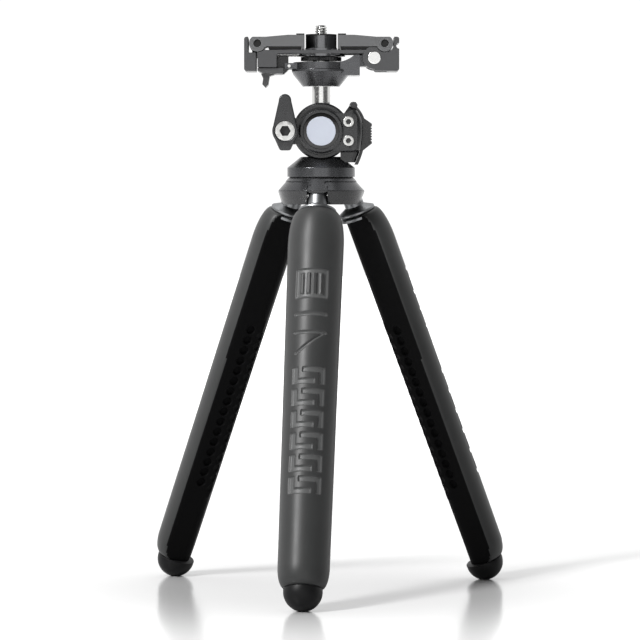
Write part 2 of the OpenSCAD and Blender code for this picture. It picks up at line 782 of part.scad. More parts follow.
// Cross-section to the two inner flats, with its edge cut back by a height
module flats_outline(trim) {
  far = 3 * sleeve_d;
  flat_x = edge_depth - trim;
  half = trim * tan(flat_angle);
  polygon([[flat_x, -half], [flat_x, half],
    [edge_depth - far, far * tan(flat_angle)], [edge_depth - far, -far * tan(flat_angle)]]);
}

// Blind recesses: one row down each flat, and one along the edge, staggered by half a pitch
module recess_rows(from, to) {
  along_flat = recess_inset - edge_depth * cos(flat_angle);
  for (row = [-1, 0, 1], k = [0:recess_count - 1]) {
    at = recess_first + k * recess_pitch + (row == 0 ? recess_pitch / 2 : 0);
    seat = row == 0 ? edge_depth : flat_dist;
    if (at > from - recess_d && at < to + recess_d)
      translate([0, 0, at]) rotate([0, 0, row * (90 - flat_angle)])
        translate([seat - recess_depth, row * along_flat, 0]) rotate([0, 90, 0])
          cylinder(d = recess_d, h = recess_depth + slack, $fn = 24);
  }
}

// A stretch of the rubber sleeve, cut square at both ends
module sleeve(i, from, to) {
  color("#48494b") on_leg(i) difference() {
    intersection() {
      rotate_extrude() sleeve_outline();
      union() {
        translate([0, 0, from]) linear_extrude(to - from) flats_outline(edge_trim);
        if (to > grip_start && from < grip_start + grip_len) {
          ridge_from = max(from, grip_start);
          ridge_to = min(to, grip_start + grip_len);
          translate([0, 0, ridge_from]) linear_extrude(ridge_to - ridge_from) flats_outline(grip_trim);
        }
      }
    }
    translate([0, 0, from - slack]) cylinder(r = core_r, h = to - from + 2 * slack);
    translate([0, 0, collar_at - slack]) cylinder(d = spigot_d + 2 * seat_gap, h = spigot_len + slack);
    recess_rows(from, to);
  }
}

// Domed rubber foot with the peg that plugs into the sleeve
module leg_foot(i) {
  color("#1d1d1e") difference() {
    on_leg(i) {
      intersection() {
        translate([0, 0, leg_reach]) sphere(d = foot_d);
        translate([0, 0, leg_reach]) cylinder(d = 2 * foot_d, h = foot_d);
      }
      translate([0, 0, sleeve_end]) cylinder(d = foot_d, h = foot_rim);
      translate([0, 0, sleeve_end - peg_len]) cylinder(d = peg_d, h = peg_len + foot_rim);
    }
    translate([-2 * leg_reach, -2 * leg_reach, -foot_d]) cube([4 * leg_reach, 4 * leg_reach, foot_d]);
  }
}

// Ball head

// Turning base: upright rim, sloping shoulder and the tongue between the shells
module pan_base() {
  color("#3d3e40") difference() {
    union() {
      translate([0, 0, pan_z]) cylinder(r = pan_r, h = pan_rim_h);
      translate([0, 0, pan_z + pan_rim_h]) cylinder(r1 = pan_r, r2 = pan_neck_r, h = pan_cone_h);
    }
    on_ball() rod_y(case_r + seat_gap, -2 * pan_r, -tongue_t / 2);
    on_ball() rod_y(case_r + seat_gap, tongue_t / 2, 2 * pan_r);
    on_ball() rod_y(ball_r + seat_t + seat_gap, -2 * pan_r, 2 * pan_r);
    for (side = [-1, 1])
      on_ball() along_y(-tongue_t / 2 - slack, tongue_t / 2 + slack)
        intersection() {
          box_outline(side * tongue_w / 2, -case_r, side * 2 * pan_r, 0);
          circle(case_r + seat_gap);
        }
    translate([0, 0, pan_z - slack]) cylinder(d = bolt_d + 2 * seat_gap, h = bolt_grip + slack);
  }
}

// Cuts that both shells share: the ball's socket, the neck's slot and the tongue
module shell_cuts() {
  sphere(r = socket_r);
  along_y(-slot_half, slot_half)
    polygon([[0, 0], 3 * case_r * [-sin(slot_angle), cos(slot_angle)], [0, 4 * case_r],
      3 * case_r * [sin(slot_angle), cos(slot_angle)]]);
  along_y(-tongue_t / 2 - seat_gap, tongue_t / 2 + seat_gap)
    box_outline(-tongue_w / 2 - seat_gap, -2 * case_r, tongue_w / 2 + seat_gap, -ball_r / 2);
}

// Outline of the right ear, which carries the two small screws
module ear_outline() {
  round_outline(0, -ear_drop, ear_x, ear_top, ear_corner);
}

// Outline of the left ear, which carries the lock screw
module lock_ear_outline() {
  box_outline(-lock_x, -lock_ear_h, 0, lock_ear_h);
  translate([-lock_x, 0]) circle(lock_ear_h);
}

module shell_bores(screw_r) {
  for (z = [-shell_screw_z, shell_screw_z])
    translate([shell_screw_x, 0, z]) rod_y(screw_r, -2 * case_r, 2 * case_r);
  translate([-lock_x, 0, 0]) rod_y(lock_d / 2 + run_gap, -2 * case_r, 2 * case_r);
}

// Front half of the ball's housing, with the bezel and two ears
module front_shell() {
  groove_r = bezel_r + bezel_groove;
  floor_y = bezel_front - badge_t - seat_gap;
  color("#2e2f31") on_ball() difference() {
    union() {
      revolve_y() polygon([[0, shell_gap], [case_r, shell_gap], [case_r, case_front - bezel_bevel],
        [case_r - bezel_bevel, case_front], [groove_r, case_front], [groove_r, case_front - bezel_bevel],
        [bezel_r, case_front - bezel_bevel], [bezel_r, ear_front],
        [bezel_r - bezel_bevel, bezel_front], [badge_r, bezel_front], [badge_r, floor_y], [0, floor_y]]);
      difference() {
        along_y(-ear_front, -shell_gap) ear_outline();
        rod_y(bezel_r - bezel_bevel, -2 * case_r, 0);
      }
      difference() {
        along_y(-lock_ear_front, -shell_gap) lock_ear_outline();
        rod_y(bezel_r - bezel_bevel, -2 * case_r, 0);
      }
      translate([-lock_x, 0, 0]) rod_y(lock_boss_r, -bezel_front, -shell_gap);
    }
    shell_cuts();
    shell_bores(shell_screw_d / 2 + seat_gap);
    for (z = [-shell_screw_z, shell_screw_z])
      translate([shell_screw_x, 0, z])
        rod_y(shell_head_d / 2 + seat_gap, -2 * case_r, -ear_front + shell_head_sink);
  }
}

// Rear half of the ball's housing: domed back, two ears and the thumb lock's lugs
module rear_shell() {
  color("#2a2b2d") on_ball() difference() {
    union() {
      rotate([180, 0, 0]) revolve_y() polygon([[0, shell_gap], [case_r, shell_gap],
        [case_r, case_back - back_bevel], [case_r - back_bevel, case_back], [0, case_back]]);
      along_y(shell_gap, ear_back) ear_outline();
      along_y(shell_gap, ear_back) lock_ear_outline();
      thumb_lock_lug();
    }
    shell_cuts();
    shell_bores(shell_screw_d / 2 + seat_gap);
    translate([-lock_x, ear_back - nut_t, 0]) rotate([-90, 0, 0])
      cylinder(d = (nut_w + 2 * seat_gap) / cos(30), h = nut_t + slack, $fn = 6);
    thumb_lock_room();
    translate([paddle_pin_x, 0, paddle_top]) rod_y(paddle_pin_d / 2 + seat_gap, -case_r, case_r);
  }
}

// Lug that reaches up from the rear ear to hold the thumb lock's pin
module thumb_lock_lug() {
  along_y(shell_gap, ear_back + 2 * slack) {
    translate([paddle_pin_x, paddle_top]) circle(paddle_eye_r);
    polygon([[ear_corner + case_r / 2, ear_top - ear_corner], [ear_x, ear_top - ear_corner],
      [paddle_pin_x + paddle_eye_r - lap, paddle_top], [paddle_pin_x - paddle_eye_r + lap, paddle_top]]);
  }
}

// Room behind the ear's top in which the thumb lock's eye turns
module thumb_lock_room() {
  reach = paddle_eye_r + move_gap;
  translate([paddle_pin_x, 0, paddle_top]) rod_y(reach, -case_r, paddle_half + move_gap);
  along_y(-case_r, paddle_half + move_gap)
    box_outline(paddle_pin_x, paddle_top - reach, 2 * paddle_x, paddle_top + reach);
}

// Nylon seat between the tongue and the ball
module ball_seat() {
  color("ivory") on_ball() difference() {
    intersection() {
      rod_y(ball_r + seat_t, -tongue_t / 2, tongue_t / 2);
      along_y(-tongue_t / 2, tongue_t / 2)
        box_outline(-tongue_w / 2 + seat_gap, -2 * ball_r, tongue_w / 2 - seat_gap, -seat_drop);
    }
    sphere(r = socket_r);
  }
}

module shell_screws() {
  head_y = -ear_front + shell_head_sink;
  color("gainsboro") on_ball() for (z = [-shell_screw_z, shell_screw_z])
    translate([shell_screw_x, 0, z]) difference() {
      union() {
        rod_y(shell_head_d / 2, head_y - shell_head_h, head_y);
        rod_y(shell_screw_d / 2, head_y - slack, ear_back);
      }
      translate([0, head_y - shell_head_h - slack, 0]) rotate([-90, 0, 0])
        cylinder(d = shell_hex / cos(30), h = slack + shell_head_h / 2, $fn = 6);
    }
}

module badge_ring() {
  color("#0c0c0c") on_ball() revolve_y() polygon([
    [disc_r + seat_gap, bezel_front - badge_t], [badge_r - seat_gap, bezel_front - badge_t],
    [badge_r - seat_gap, bezel_front - ring_sink], [disc_r + seat_gap, bezel_front - disc_sink - seat_gap]]);
}

module badge_disc() {
  color("aliceblue") on_ball() rod_y(disc_r, -bezel_front + disc_sink, -bezel_front + badge_t);
}

module lock_nut() {
  color("silver") on_ball() translate([-lock_x, ear_back - nut_t, 0]) rotate([-90, 0, 0]) difference() {
    cylinder(d = nut_w / cos(30), h = nut_t, $fn = 6);
    translate([0, 0, -slack]) cylinder(r = lock_d / 2 + run_gap, h = nut_t + 2 * slack);
  }
}

// The lever's body: a round hub, a tapering arm and a short tail
module lever_body(y0, y1) {
  tip = lever_len - lever_tip_r;
  side = asin((lever_hub_r - lever_tip_r) / tip);
  lean = [cos(side), sin(side)];
  wide = (lever_hub_r - lap) * lean;
  narrow = (lever_tip_r - lap) * lean + [0, tip];
  foot = (lever_hub_r - lap) * [cos(2 * side), -sin(2 * side)];
  tail = [lever_tail_r, -lever_tail];
  rod_y(lever_hub_r, y0, y1);
  translate([0, 0, tip]) rod_y(lever_tip_r, y0, y1);
  along_y(y0, y1) polygon([wide, narrow, [-narrow[0], narrow[1]], [-wide[0], wide[1]]]);
  along_y(y0, y1) polygon([foot, tail + [0, lever_tail_bevel], tail - [lever_tail_bevel, 0],
    [lever_tail_bevel - tail[0], tail[1]], [-tail[0], tail[1] + lever_tail_bevel], [-foot[0], foot[1]]]);
}

module lock_lever() {
  color("#303133") on_ball() translate([-lock_x, 0, 0]) difference() {
    lever_body(-lever_front, -lever_back);
    rod_y(lock_d / 2 + seat_gap, -2 * lever_front, 0);
    rod_y(lock_head_d / 2 + seat_gap, -2 * lever_front, -lever_front + lock_head_h);
  }
}

module lock_screw() {
  color("gainsboro") on_ball() translate([-lock_x, 0, 0]) difference() {
    union() {
      rod_y(lock_head_d / 2, -lever_front, -lever_front + lock_head_h);
      rod_y(lock_d / 2, -lever_front + lock_head_h - slack, ear_back);
    }
    translate([0, -lever_front - slack, 0]) rotate([-90, 0, 0])
      cylinder(d = lock_hex / cos(30), h = slack + lock_head_h - lock_floor, $fn = 6);
  }
}

// Curved side lock that swings out from a pin at its top
module thumb_lock() {
  centre_x = paddle_x - paddle_r;
  root_x = paddle_x + paddle_t / 2;
  rest_x = paddle_x + paddle_t + rest_reach;
  groove = rest_h / (2 * rest_grooves + 3);
  hook_low = paddle_top - paddle_eye_r + 2 * lap;
  hook_top = paddle_top - 2 * lap;
  hook_x = centre_x + sqrt(pow(paddle_r + paddle_t / 2, 2) - pow(hook_top, 2));
  color("#353638") on_ball() difference() {
    union() {
      intersection() {
        difference() {
          translate([centre_x, 0, 0]) rod_y(paddle_r + paddle_t, -paddle_half, paddle_half);
          translate([centre_x, 0, 0]) rod_y(paddle_r, -2 * paddle_half, 2 * paddle_half);
        }
        along_y(-paddle_half, paddle_half) box_outline(0, -paddle_drop, 2 * paddle_x, hook_top);
      }
      along_y(-paddle_half, paddle_half) box_outline(paddle_pin_x, hook_low, hook_x, hook_top);
      translate([paddle_pin_x, 0, paddle_top]) rod_y(paddle_eye_r, -paddle_half, paddle_half);
      along_y(-paddle_half, paddle_half)
        polygon([[root_x, rest_h / 2 - rest_bevel], [rest_x - rest_bevel, rest_h / 2],
          [rest_x, rest_h / 2 - rest_bevel], [rest_x, -rest_h / 2 + rest_bevel],
          [rest_x - rest_bevel, -rest_h / 2], [root_x, -rest_h / 2 + rest_bevel]]);
    }
    translate([paddle_pin_x, 0, paddle_top])
      rod_y(paddle_pin_d / 2 + run_gap, -2 * paddle_half, 2 * paddle_half);
    for (k = [0:rest_grooves - 1])
      along_y(-2 * paddle_half, 2 * paddle_half)
        translate([rest_x - groove, (2 * k - rest_grooves + 0.5) * groove]) square([2 * groove, groove]);
  }
}

module thumb_lock_pin() {
  color("silver") on_ball() translate([paddle_pin_x, 0, paddle_top])
    rod_y(paddle_pin_d / 2, -paddle_half, ear_back);
}

module ball() {
  color("silver") on_ball() difference() {
    sphere(r = ball_r);
    translate([0, 0, ball_r - neck_spigot_len])
      cylinder(d = neck_spigot_d + 2 * run_gap, h = neck_spigot_len + slack);
  }
}

// Polished neck between the ball and the plate base
module ball_neck() {
  color("gainsboro") on_ball() difference() {
    union() {
      translate([0, 0, ball_r - neck_spigot_len + run_gap]) cylinder(d = neck_spigot_d, h = neck_spigot_len);
      translate([0, 0, neck_low]) cylinder(d = neck_d, h = neck_rise - neck_low);
      translate([0, 0, neck_rise - slack]) cylinder(d = neck_spigot_d, h = bowl_cone_h / 2 + slack);
    }
    difference() {
      sphere(r = ball_r + run_gap);
      cylinder(d = neck_spigot_d + run_gap, h = 2 * ball_r);
    }
  }
}

// Plate base

// Round bowl on the neck, with the arm and knuckle of the plate's hinge
module plate_base() {
  rim_low = -bowl_rim_h;
  fin_x = arm_x - fin_w;
  lug_in = latch_eye_half + move_gap;
  eye_cut = latch_eye_r + move_gap;
  color("#2f3032") on_base() difference() {
    union() {
      rotate_extrude() polygon([[0, rim_low - bowl_cone_h], [bowl_low_r, rim_low - bowl_cone_h],
        [bowl_r, rim_low], [bowl_r, rim_low + bowl_band],
        [bowl_top_r, rim_low + bowl_band + bowl_step], [bowl_top_r, 0], [0, 0]]);
      along_y(-arm_half, arm_half)
        polygon([[0, 0], [0, rim_low], [bowl_low_r, -arm_drop], [arm_x, -arm_drop],
          [arm_x, fin_rise - fin_bevel], [arm_x - fin_bevel, fin_rise], [fin_x, fin_rise], [fin_x, 0]]);
      along_y(-arm_half, arm_half) difference() {
        box_outline(fin_x - fin_sweep_len, -lap, fin_x + lap, fin_rise);
        translate([fin_x - fin_sweep_len, fin_sweep_r]) circle(r = fin_sweep_r, $fn = 128);
      }
      along_y(-knuckle_half, knuckle_half) {
        translate([hinge_x, hinge_rise]) circle(knuckle_r);
        box_outline(fin_x, hinge_rise - knuckle_r, hinge_x, hinge_rise + knuckle_web);
      }
      both_sides(lug_in, lug_in + latch_lug_t)
        box_outline(-latch_x - latch_lug_reach, -latch_drop - latch_eye_r,
          -bowl_low_r, -latch_drop + latch_eye_r);
    }
    translate([hinge_x, 0, hinge_rise]) rod_y(hinge_d / 2 + seat_gap, -plate_half, plate_half);
    translate([-latch_x, 0, -latch_drop]) rod_y(latch_pin_d / 2 + seat_gap, -plate_half, plate_half);
    along_y(-lug_in, lug_in) {
      translate([-latch_x, -latch_drop]) circle(eye_cut);
      box_outline(-2 * latch_x, -latch_drop - bowl_rim_h, -latch_x + eye_cut, -latch_drop);
    }
    translate([0, 0, rim_low - bowl_cone_h - slack])
      cylinder(d = neck_spigot_d + 2 * seat_gap, h = bowl_cone_h / 2 + slack + seat_gap);
    translate([0, 0, rim_low - bowl_cone_h])
      cylinder(d = base_screw_d + 2 * seat_gap, h = 2 * bowl_cone_h + bowl_rim_h);
  }
}

// Screw that holds the plate base on the neck, with a low round head
module base_screw() {
  low = -bowl_rim_h - bowl_cone_h / 2 + seat_gap + slack / 2;
  color("gray") on_base() difference() {
    union() {
      cylinder(d = base_head_d, h = base_head_h);
      translate([0, 0, low]) cylinder(d = base_screw_d, h = -low + base_head_h / 2);
    }
    translate([0, 0, base_head_h / 3]) cylinder(d = base_hex / cos(30), h = base_head_h, $fn = 6);
  }
}

module hinge_pin() {
  color("gainsboro") on_base() translate([hinge_x, 0, hinge_rise])
    rod_y(hinge_d / 2, -plate_half, plate_half);
}

// Sprung lever under the plate's left end, with its finger tab
module latch_lever() {
  left = -bar_x;
  right = -latch_x - latch_lug_reach - move_gap;
  tip = latch_low - tab_len;
  color("#3a3b3d") on_base() difference() {
    union() {
      along_y(-latch_half, latch_half)
        polygon([[left, latch_top], [right, latch_top], [right - 2 * move_gap, latch_low],
          [left + latch_bevel_x, latch_low], [left, latch_low + latch_bevel]]);
      along_y(-tab_half, tab_half) translate([-tab_x, 0])
        polygon([[-tab_w, latch_low + lap], [2.6 * tab_w, latch_low + lap], [tab_w, latch_low - tab_w / 2],
          [0.7 * tab_w, tip + 0.7 * tab_w], [lap, tip], [-0.7 * tab_w, tip + 0.8 * tab_w],
          [-tab_w / 2, latch_low - tab_w]]);
      along_y(-latch_eye_half, latch_eye_half) {
        translate([-latch_x, -latch_drop]) circle(latch_eye_r);
        polygon([[right - latch_eye_r, latch_low], [right, latch_low],
          [-latch_x + latch_eye_r / 2, -latch_drop - latch_eye_r / 2],
          [-latch_x - latch_eye_r + lap, -latch_drop], [right - latch_eye_r, latch_top]]);
      }
    }
    translate([-latch_x, 0, -latch_drop]) rod_y(latch_pin_d / 2 + run_gap, -plate_half, plate_half);
    translate([-latch_x, 0, -latch_drop])
      rod_y(latch_eye_r + move_gap, -latch_spring_len / 2 - move_gap, latch_spring_len / 2 + move_gap);
  }
}

module latch_pin() {
  half = latch_eye_half + move_gap + latch_lug_t;
  color("silver") on_base() translate([-latch_x, 0, -latch_drop]) rod_y(latch_pin_d / 2, -half, half);
}

// Spring round the latch's pin, between the latch's two knuckles
module latch_spring() {
  color("silver") on_base() translate([-latch_x, -latch_spring_len / 2, -latch_drop]) rotate([-90, 0, 0])
    coil(latch_coil_r, spring_wire, latch_turns, latch_spring_len);
}

// Camera plate

// Outline of the space that a right jaw needs, with room round it
module jaw_room_outline() {
  translate([jaw_x, jaw_rise]) circle(jaw_cut_r);
  box_outline(jaw_tip_x - move_gap, jaw_low - move_gap, jaw_x, 2 * jaw_top);
}

// Flip-up plate: column, flange, side bars, hinge ears and right end wall
module camera_plate() {
  foot_in = bar_x - bar_foot_w;
  color("#333436") on_base() difference() {
    union() {
      translate([0, 0, flange_rise]) cylinder(r = flange_r, h = flange_top - flange_rise);
      translate([0, 0, flange_rise]) cylinder(d = column_d, h = column_rise - flange_rise);
      both_sides(bar_in, plate_half) difference() {
        union() {
          box_outline(-bar_x, bar_rise, hinge_x, bar_top);
          box_outline(-bar_x, -bar_foot_drop, -foot_in, bar_top);
          translate([-foot_in, bar_rise - bar_fillet]) difference() {
            square(bar_fillet);
            translate([bar_fillet, 0]) circle(bar_fillet);
          }
        }
        translate([-jaw_x, jaw_rise]) circle(jaw_cut_r);
      }
      both_sides(ear_in, plate_half) difference() {
        union() {
          translate([hinge_x, hinge_rise]) circle(hinge_ear_r);
          round_outline(hinge_x, -plate_drop, plate_x, wall_rise, wall_corner);
          box_outline(hinge_x - hinge_ear_r, bar_rise, hinge_x, bar_top);
        }
        jaw_room_outline();
        box_outline(hinge_x - lap, jaw_low - move_gap, wall_in, 2 * jaw_top);
      }
      along_y(-ear_in - slack, ear_in + slack) difference() {
        round_outline(hinge_x + hinge_ear_r + lap, -plate_drop, plate_x, wall_rise, wall_corner);
        jaw_room_outline();
        box_outline(hinge_x - lap, jaw_low - move_gap, wall_in, 2 * jaw_top);
      }
      along_y(-lug_half, lug_half) {
        translate([jaw_x, jaw_rise]) circle(lug_r);
        box_outline(hinge_x + hinge_ear_r + lap, 0, jaw_x + lug_r, jaw_rise);
      }
    }
    translate([0, 0, -slack]) cylinder(d = screw_shank_d + 2 * run_gap, h = 2 * column_rise);
    for (side = [-1, 1])
      translate([-2 * flange_r, side * (rail_in + rail_out) / 2 - rail_t / 2 - move_gap, rail_low - move_gap])
        cube([4 * flange_r, rail_t + 2 * move_gap, rail_h + 2 * move_gap]);
    translate([jaw_tip_x - move_gap, -rail_out, bar_top])
      cube([lip_w + 2 * move_gap, 2 * rail_out, flange_top]);
    translate([-bar_x, -rail_out, bar_top])
      cube([bar_x - jaw_tip_x + move_gap, 2 * rail_out, flange_top]);
    translate([hinge_x, 0, hinge_rise]) rod_y(hinge_d / 2 + run_gap, -2 * plate_half, 2 * plate_half);
    translate([jaw_x, 0, jaw_rise]) rod_y(jaw_pin_d / 2 + seat_gap, -lug_half - slack, lug_half + slack);
    translate([plate_x, 0, wall_notch_rise]) rod_y(wall_notch_r, -2 * plate_half, 2 * plate_half);
  }
}

module centre_pad() {
  color("#141414") on_base() translate([0, 0, column_rise]) difference() {
    cylinder(d = column_d, h = pad_t);
    translate([0, 0, -slack]) cylinder(d = screw_d + 2 * move_gap, h = pad_t + 2 * slack);
  }
}

// Standard camera screw, captive in the column by its relieved shank
module camera_screw() {
  low = wheel_top - wheel_t;
  tip = screw_tip;
  color("gainsboro") on_base() {
    translate([0, 0, low]) cylinder(d = screw_shank_d, h = pad_top - low);
    translate([0, 0, pad_top]) cylinder(d = screw_d, h = screw_out - tip);
    translate([0, 0, pad_top + screw_out - tip]) cylinder(d1 = screw_d, d2 = screw_d - 2 * tip, h = tip);
  }
}

module screw_wheel() {
  color("#1b1b1c") on_base() translate([0, 0, wheel_top - wheel_t]) difference() {
    cylinder(d = wheel_d, h = wheel_t);
    translate([0, 0, -slack]) cylinder(d = screw_shank_d + 2 * seat_gap, h = wheel_t + 2 * slack);
  }
}

// Phone jaws

// Sliding left end: outer wall, block, lug and the two rails through the plate
module left_carrier() {
  rise_x = jaw_x - jaw_cut_r - move_gap;
  web_low = rail_low - rail_web_h;
  color("#333436") on_base() difference() {
    union() {
      along_y(-plate_half, plate_half) difference() {
        round_outline(-carrier_x, -plate_drop - seat_gap,
          -carrier_in_x + wall_corner, wall_rise, wall_corner);
        box_outline(-carrier_in_x, -2 * plate_drop, 0, 2 * wall_rise);
        translate([-jaw_x, jaw_rise]) circle(jaw_cut_r);
        box_outline(-wall_in, block_top, 0, 2 * wall_rise);
      }
      both_sides(rail_in, rail_out)
        polygon([[-carrier_in_x - slack, block_top], [-carrier_in_x - slack, web_low],
          [-rise_x + rail_web_h, web_low], [-rise_x + 2 * rail_web_h, rail_low], [rail_x, rail_low],
          [rail_x, rail_top], [-rise_x + rail_web_h / 2, rail_top], [-rise_x, block_top]]);
      along_y(-lug_half, lug_half) {
        translate([-jaw_x, jaw_rise]) circle(lug_r);
        box_outline(-jaw_x - lug_r, 0, -carrier_in_x, jaw_rise);
      }
    }
    translate([-jaw_x, 0, jaw_rise]) rod_y(jaw_pin_d / 2 + seat_gap, -lug_half - slack, lug_half + slack);
  }
}

// Draw springs that pull the carrier in, each beside a rail
module carrier_springs() {
  x = -carrier_in_x + seat_gap + spring_wire / 2;
  y = rail_in - spring_d / 2 - move_gap;
  color("silver") on_base() for (side = [-1, 1])
    translate([x, side * y, block_top - spring_d / 2]) rotate([0, 90, 0])
      coil((spring_d - spring_wire) / 2, spring_wire, spring_turns, carrier_spring_l);
}

module jaw_pin(side) {
  head_y = plate_half - jaw_pin_sink;
  head_h = jaw_pin_head_h;
  color("#0d0d0d") on_base() translate([side * jaw_x, 0, jaw_rise]) {
    rod_y(jaw_pin_d / 2, -head_y + head_h / 2, head_y - head_h / 2);
    rod_y(jaw_pin_head_d / 2, -head_y, -head_y + head_h);
    rod_y(jaw_pin_head_d / 2, head_y - head_h, head_y);
  }
}

module left_jaw_pin() {
  jaw_pin(-1);
}

module right_jaw_pin() {
  jaw_pin(1);
}

// Outline of a right jaw: round hinge end, crowned arm and the lip at its tip
module jaw_outline() {
  intersection() {
    union() {
      translate([jaw_x, jaw_rise]) circle(jaw_r);
      box_outline(jaw_tip_x, jaw_low, jaw_x, jaw_top);
      box_outline(jaw_tip_x, lip_low, jaw_tip_x + lip_w, jaw_top);
    }
    polygon([[0, 0], [2 * jaw_x, 0], [2 * jaw_x, jaw_end_top], [jaw_x - jaw_r, jaw_end_top],
      [jaw_tip_x + 2 * tip_pad_w, jaw_top], [0, jaw_top]]);
  }
}

module jaw() {
  slot_half = lug_half + move_gap;
  head_in = plate_half - jaw_pin_sink - jaw_pin_head_h - move_gap / 2;
  color("#3c3d40") on_base() difference() {
    along_y(-plate_half, plate_half) jaw_outline();
    along_y(-slot_half, slot_half) {
      translate([jaw_x, jaw_rise]) circle(lug_r + jaw_r / 2);
      box_outline(jaw_x, 0, 2 * jaw_x, 2 * jaw_top);
      box_outline(jaw_x - lug_r - move_gap, 0, jaw_x, jaw_rise);
    }
    translate([jaw_x, 0, jaw_rise]) {
      rod_y(jaw_pin_d / 2 + run_gap, -2 * plate_half, 2 * plate_half);
      rod_y(jaw_pin_head_d / 2 + run_gap, -2 * plate_half, -head_in);
      rod_y(jaw_pin_head_d / 2 + run_gap, head_in, 2 * plate_half);
    }
    jaw_grip(seat_gap);
  }
}

// Rubber grip let into a jaw's underside, with room round it
module jaw_grip(room) {
  start = jaw_tip_x + lip_w + grip_inset;
  half = plate_half - grip_margin;
  over = room > 0 ? slack : 0;
  translate([start - room, -half - room, jaw_low - over])
    cube([grip_w + 2 * room, 2 * (half + room), grip_t + room + over]);
}

module jaw_pads() {
  tip_half = plate_half - tip_pad_margin;
  color("#141414") on_base() {
    jaw_grip(0);
    translate([jaw_tip_x, -tip_half, jaw_top]) cube([tip_pad_w, 2 * tip_half, pad_t]);
  }
}

module left_jaw() {
  mirror([1, 0, 0]) jaw();
}

module right_jaw() {
  jaw();
}

module left_jaw_pads() {
  mirror([1, 0, 0]) jaw_pads();
}

module right_jaw_pads() {
  jaw_pads();
}

hub_skirt();
hub_cap();
leg_hinge_pins();
hub_bolt();
hub_washers();
pan_base();
front_shell();
rear_shell();
ball_seat();
shell_screws();
badge_ring();
badge_disc();
lock_nut();
lock_lever();
lock_screw();
thumb_lock();
thumb_lock_pin();
ball();
ball_neck();
plate_base();
base_screw();
hinge_pin();
latch_lever();
latch_pin();
latch_spring();
camera_plate();
centre_pad();
camera_screw();
screw_wheel();
left_carrier();
carrier_springs();
left_jaw_pin();
right_jaw_pin();
left_jaw();
left_jaw_pads();
right_jaw();
right_jaw_pads();
for (i = [1:3]) {
  leg_stem(i);
  leg_wires(i);
  sleeve(i, collar_at, bend_top);
  sleeve(i, bend_top, bend_low);
  sleeve(i, bend_low, sleeve_end);
  leg_foot(i);
}
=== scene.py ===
"""A small tripod with bendable rubber legs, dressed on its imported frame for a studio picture."""
import math

import bmesh
import bpy
import numpy as np
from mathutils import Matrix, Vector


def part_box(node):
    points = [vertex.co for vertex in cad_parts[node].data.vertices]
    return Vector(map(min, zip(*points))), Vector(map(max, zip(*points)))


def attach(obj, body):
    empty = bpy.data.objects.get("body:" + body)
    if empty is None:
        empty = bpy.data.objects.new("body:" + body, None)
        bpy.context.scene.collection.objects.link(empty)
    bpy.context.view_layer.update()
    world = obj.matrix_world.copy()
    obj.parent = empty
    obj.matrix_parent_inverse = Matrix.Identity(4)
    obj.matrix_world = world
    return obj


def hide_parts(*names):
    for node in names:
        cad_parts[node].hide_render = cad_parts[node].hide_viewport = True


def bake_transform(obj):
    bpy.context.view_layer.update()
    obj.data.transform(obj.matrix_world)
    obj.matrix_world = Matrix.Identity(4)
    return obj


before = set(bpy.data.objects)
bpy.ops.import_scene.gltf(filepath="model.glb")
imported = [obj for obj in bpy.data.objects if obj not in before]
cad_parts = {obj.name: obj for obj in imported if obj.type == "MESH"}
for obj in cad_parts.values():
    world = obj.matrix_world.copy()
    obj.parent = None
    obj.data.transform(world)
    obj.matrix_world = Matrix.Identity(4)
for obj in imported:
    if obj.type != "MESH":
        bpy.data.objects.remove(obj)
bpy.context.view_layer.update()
MM = 0.001

# Studio. A pale sheet of card is the floor, with a painted shadow that darkens it under
# the tripod and a painted glow that brightens it away from it. A tall soft box at the left,
# a wide one in front and one above light it, as for a catalogue.
CAMERA_X, CAMERA_DISTANCE, CAMERA_HEIGHT = -0.59 * MM, 1745 * MM, 209.7 * MM
CAMERA_PITCH = math.radians(2.30)
FOCAL_PIXELS, FRAME_PIXELS = 3366, 640
SENSOR_WIDTH, FAR_CLIP = 36, 20

camera_data = bpy.data.cameras.new("camera")
camera_data.sensor_width = SENSOR_WIDTH
camera_data.lens = SENSOR_WIDTH * FOCAL_PIXELS / FRAME_PIXELS
camera_data.clip_end = FAR_CLIP
camera = bpy.data.objects.new("camera", camera_data)
camera.location = (CAMERA_X, -CAMERA_DISTANCE, CAMERA_HEIGHT)
camera.rotation_euler = (math.pi / 2 - CAMERA_PITCH, 0, 0)
bpy.context.collection.objects.link(camera)
bpy.context.scene.camera = camera


def new_material(name, colour, roughness, metallic=0.0):
    """A node material with its shader's plain values set on the shader's own sockets."""
    material = bpy.data.materials.new(name)
    material.use_nodes = True
    shader = material.node_tree.nodes["Principled BSDF"]
    shader.inputs["Base Color"].default_value = (*colour, 1)
    shader.inputs["Roughness"].default_value = roughness
    shader.inputs["Metallic"].default_value = metallic
    return material, material.node_tree, shader


def add_node(tree, kind, **values):
    """Adds a node; names of its inputs or properties give their values."""
    node = tree.nodes.new(kind)
    for key, value in values.items():
        if key in node.inputs:
            node.inputs[key].default_value = value
        else:
            setattr(node, key, value)
    return node


def ramp(tree, source, span, result, kind="SMOOTHSTEP"):
    """Turns a value that runs over span into one that runs over result, by a smooth or a straight ramp."""
    node = add_node(tree, "ShaderNodeMapRange", interpolation_type=kind)
    for socket, value in zip(("From Min", "From Max", "To Min", "To Max"), (*span, *result)):
        node.inputs[socket].default_value = value
    tree.links.new(source, node.inputs["Value"])
    return node.outputs["Result"]


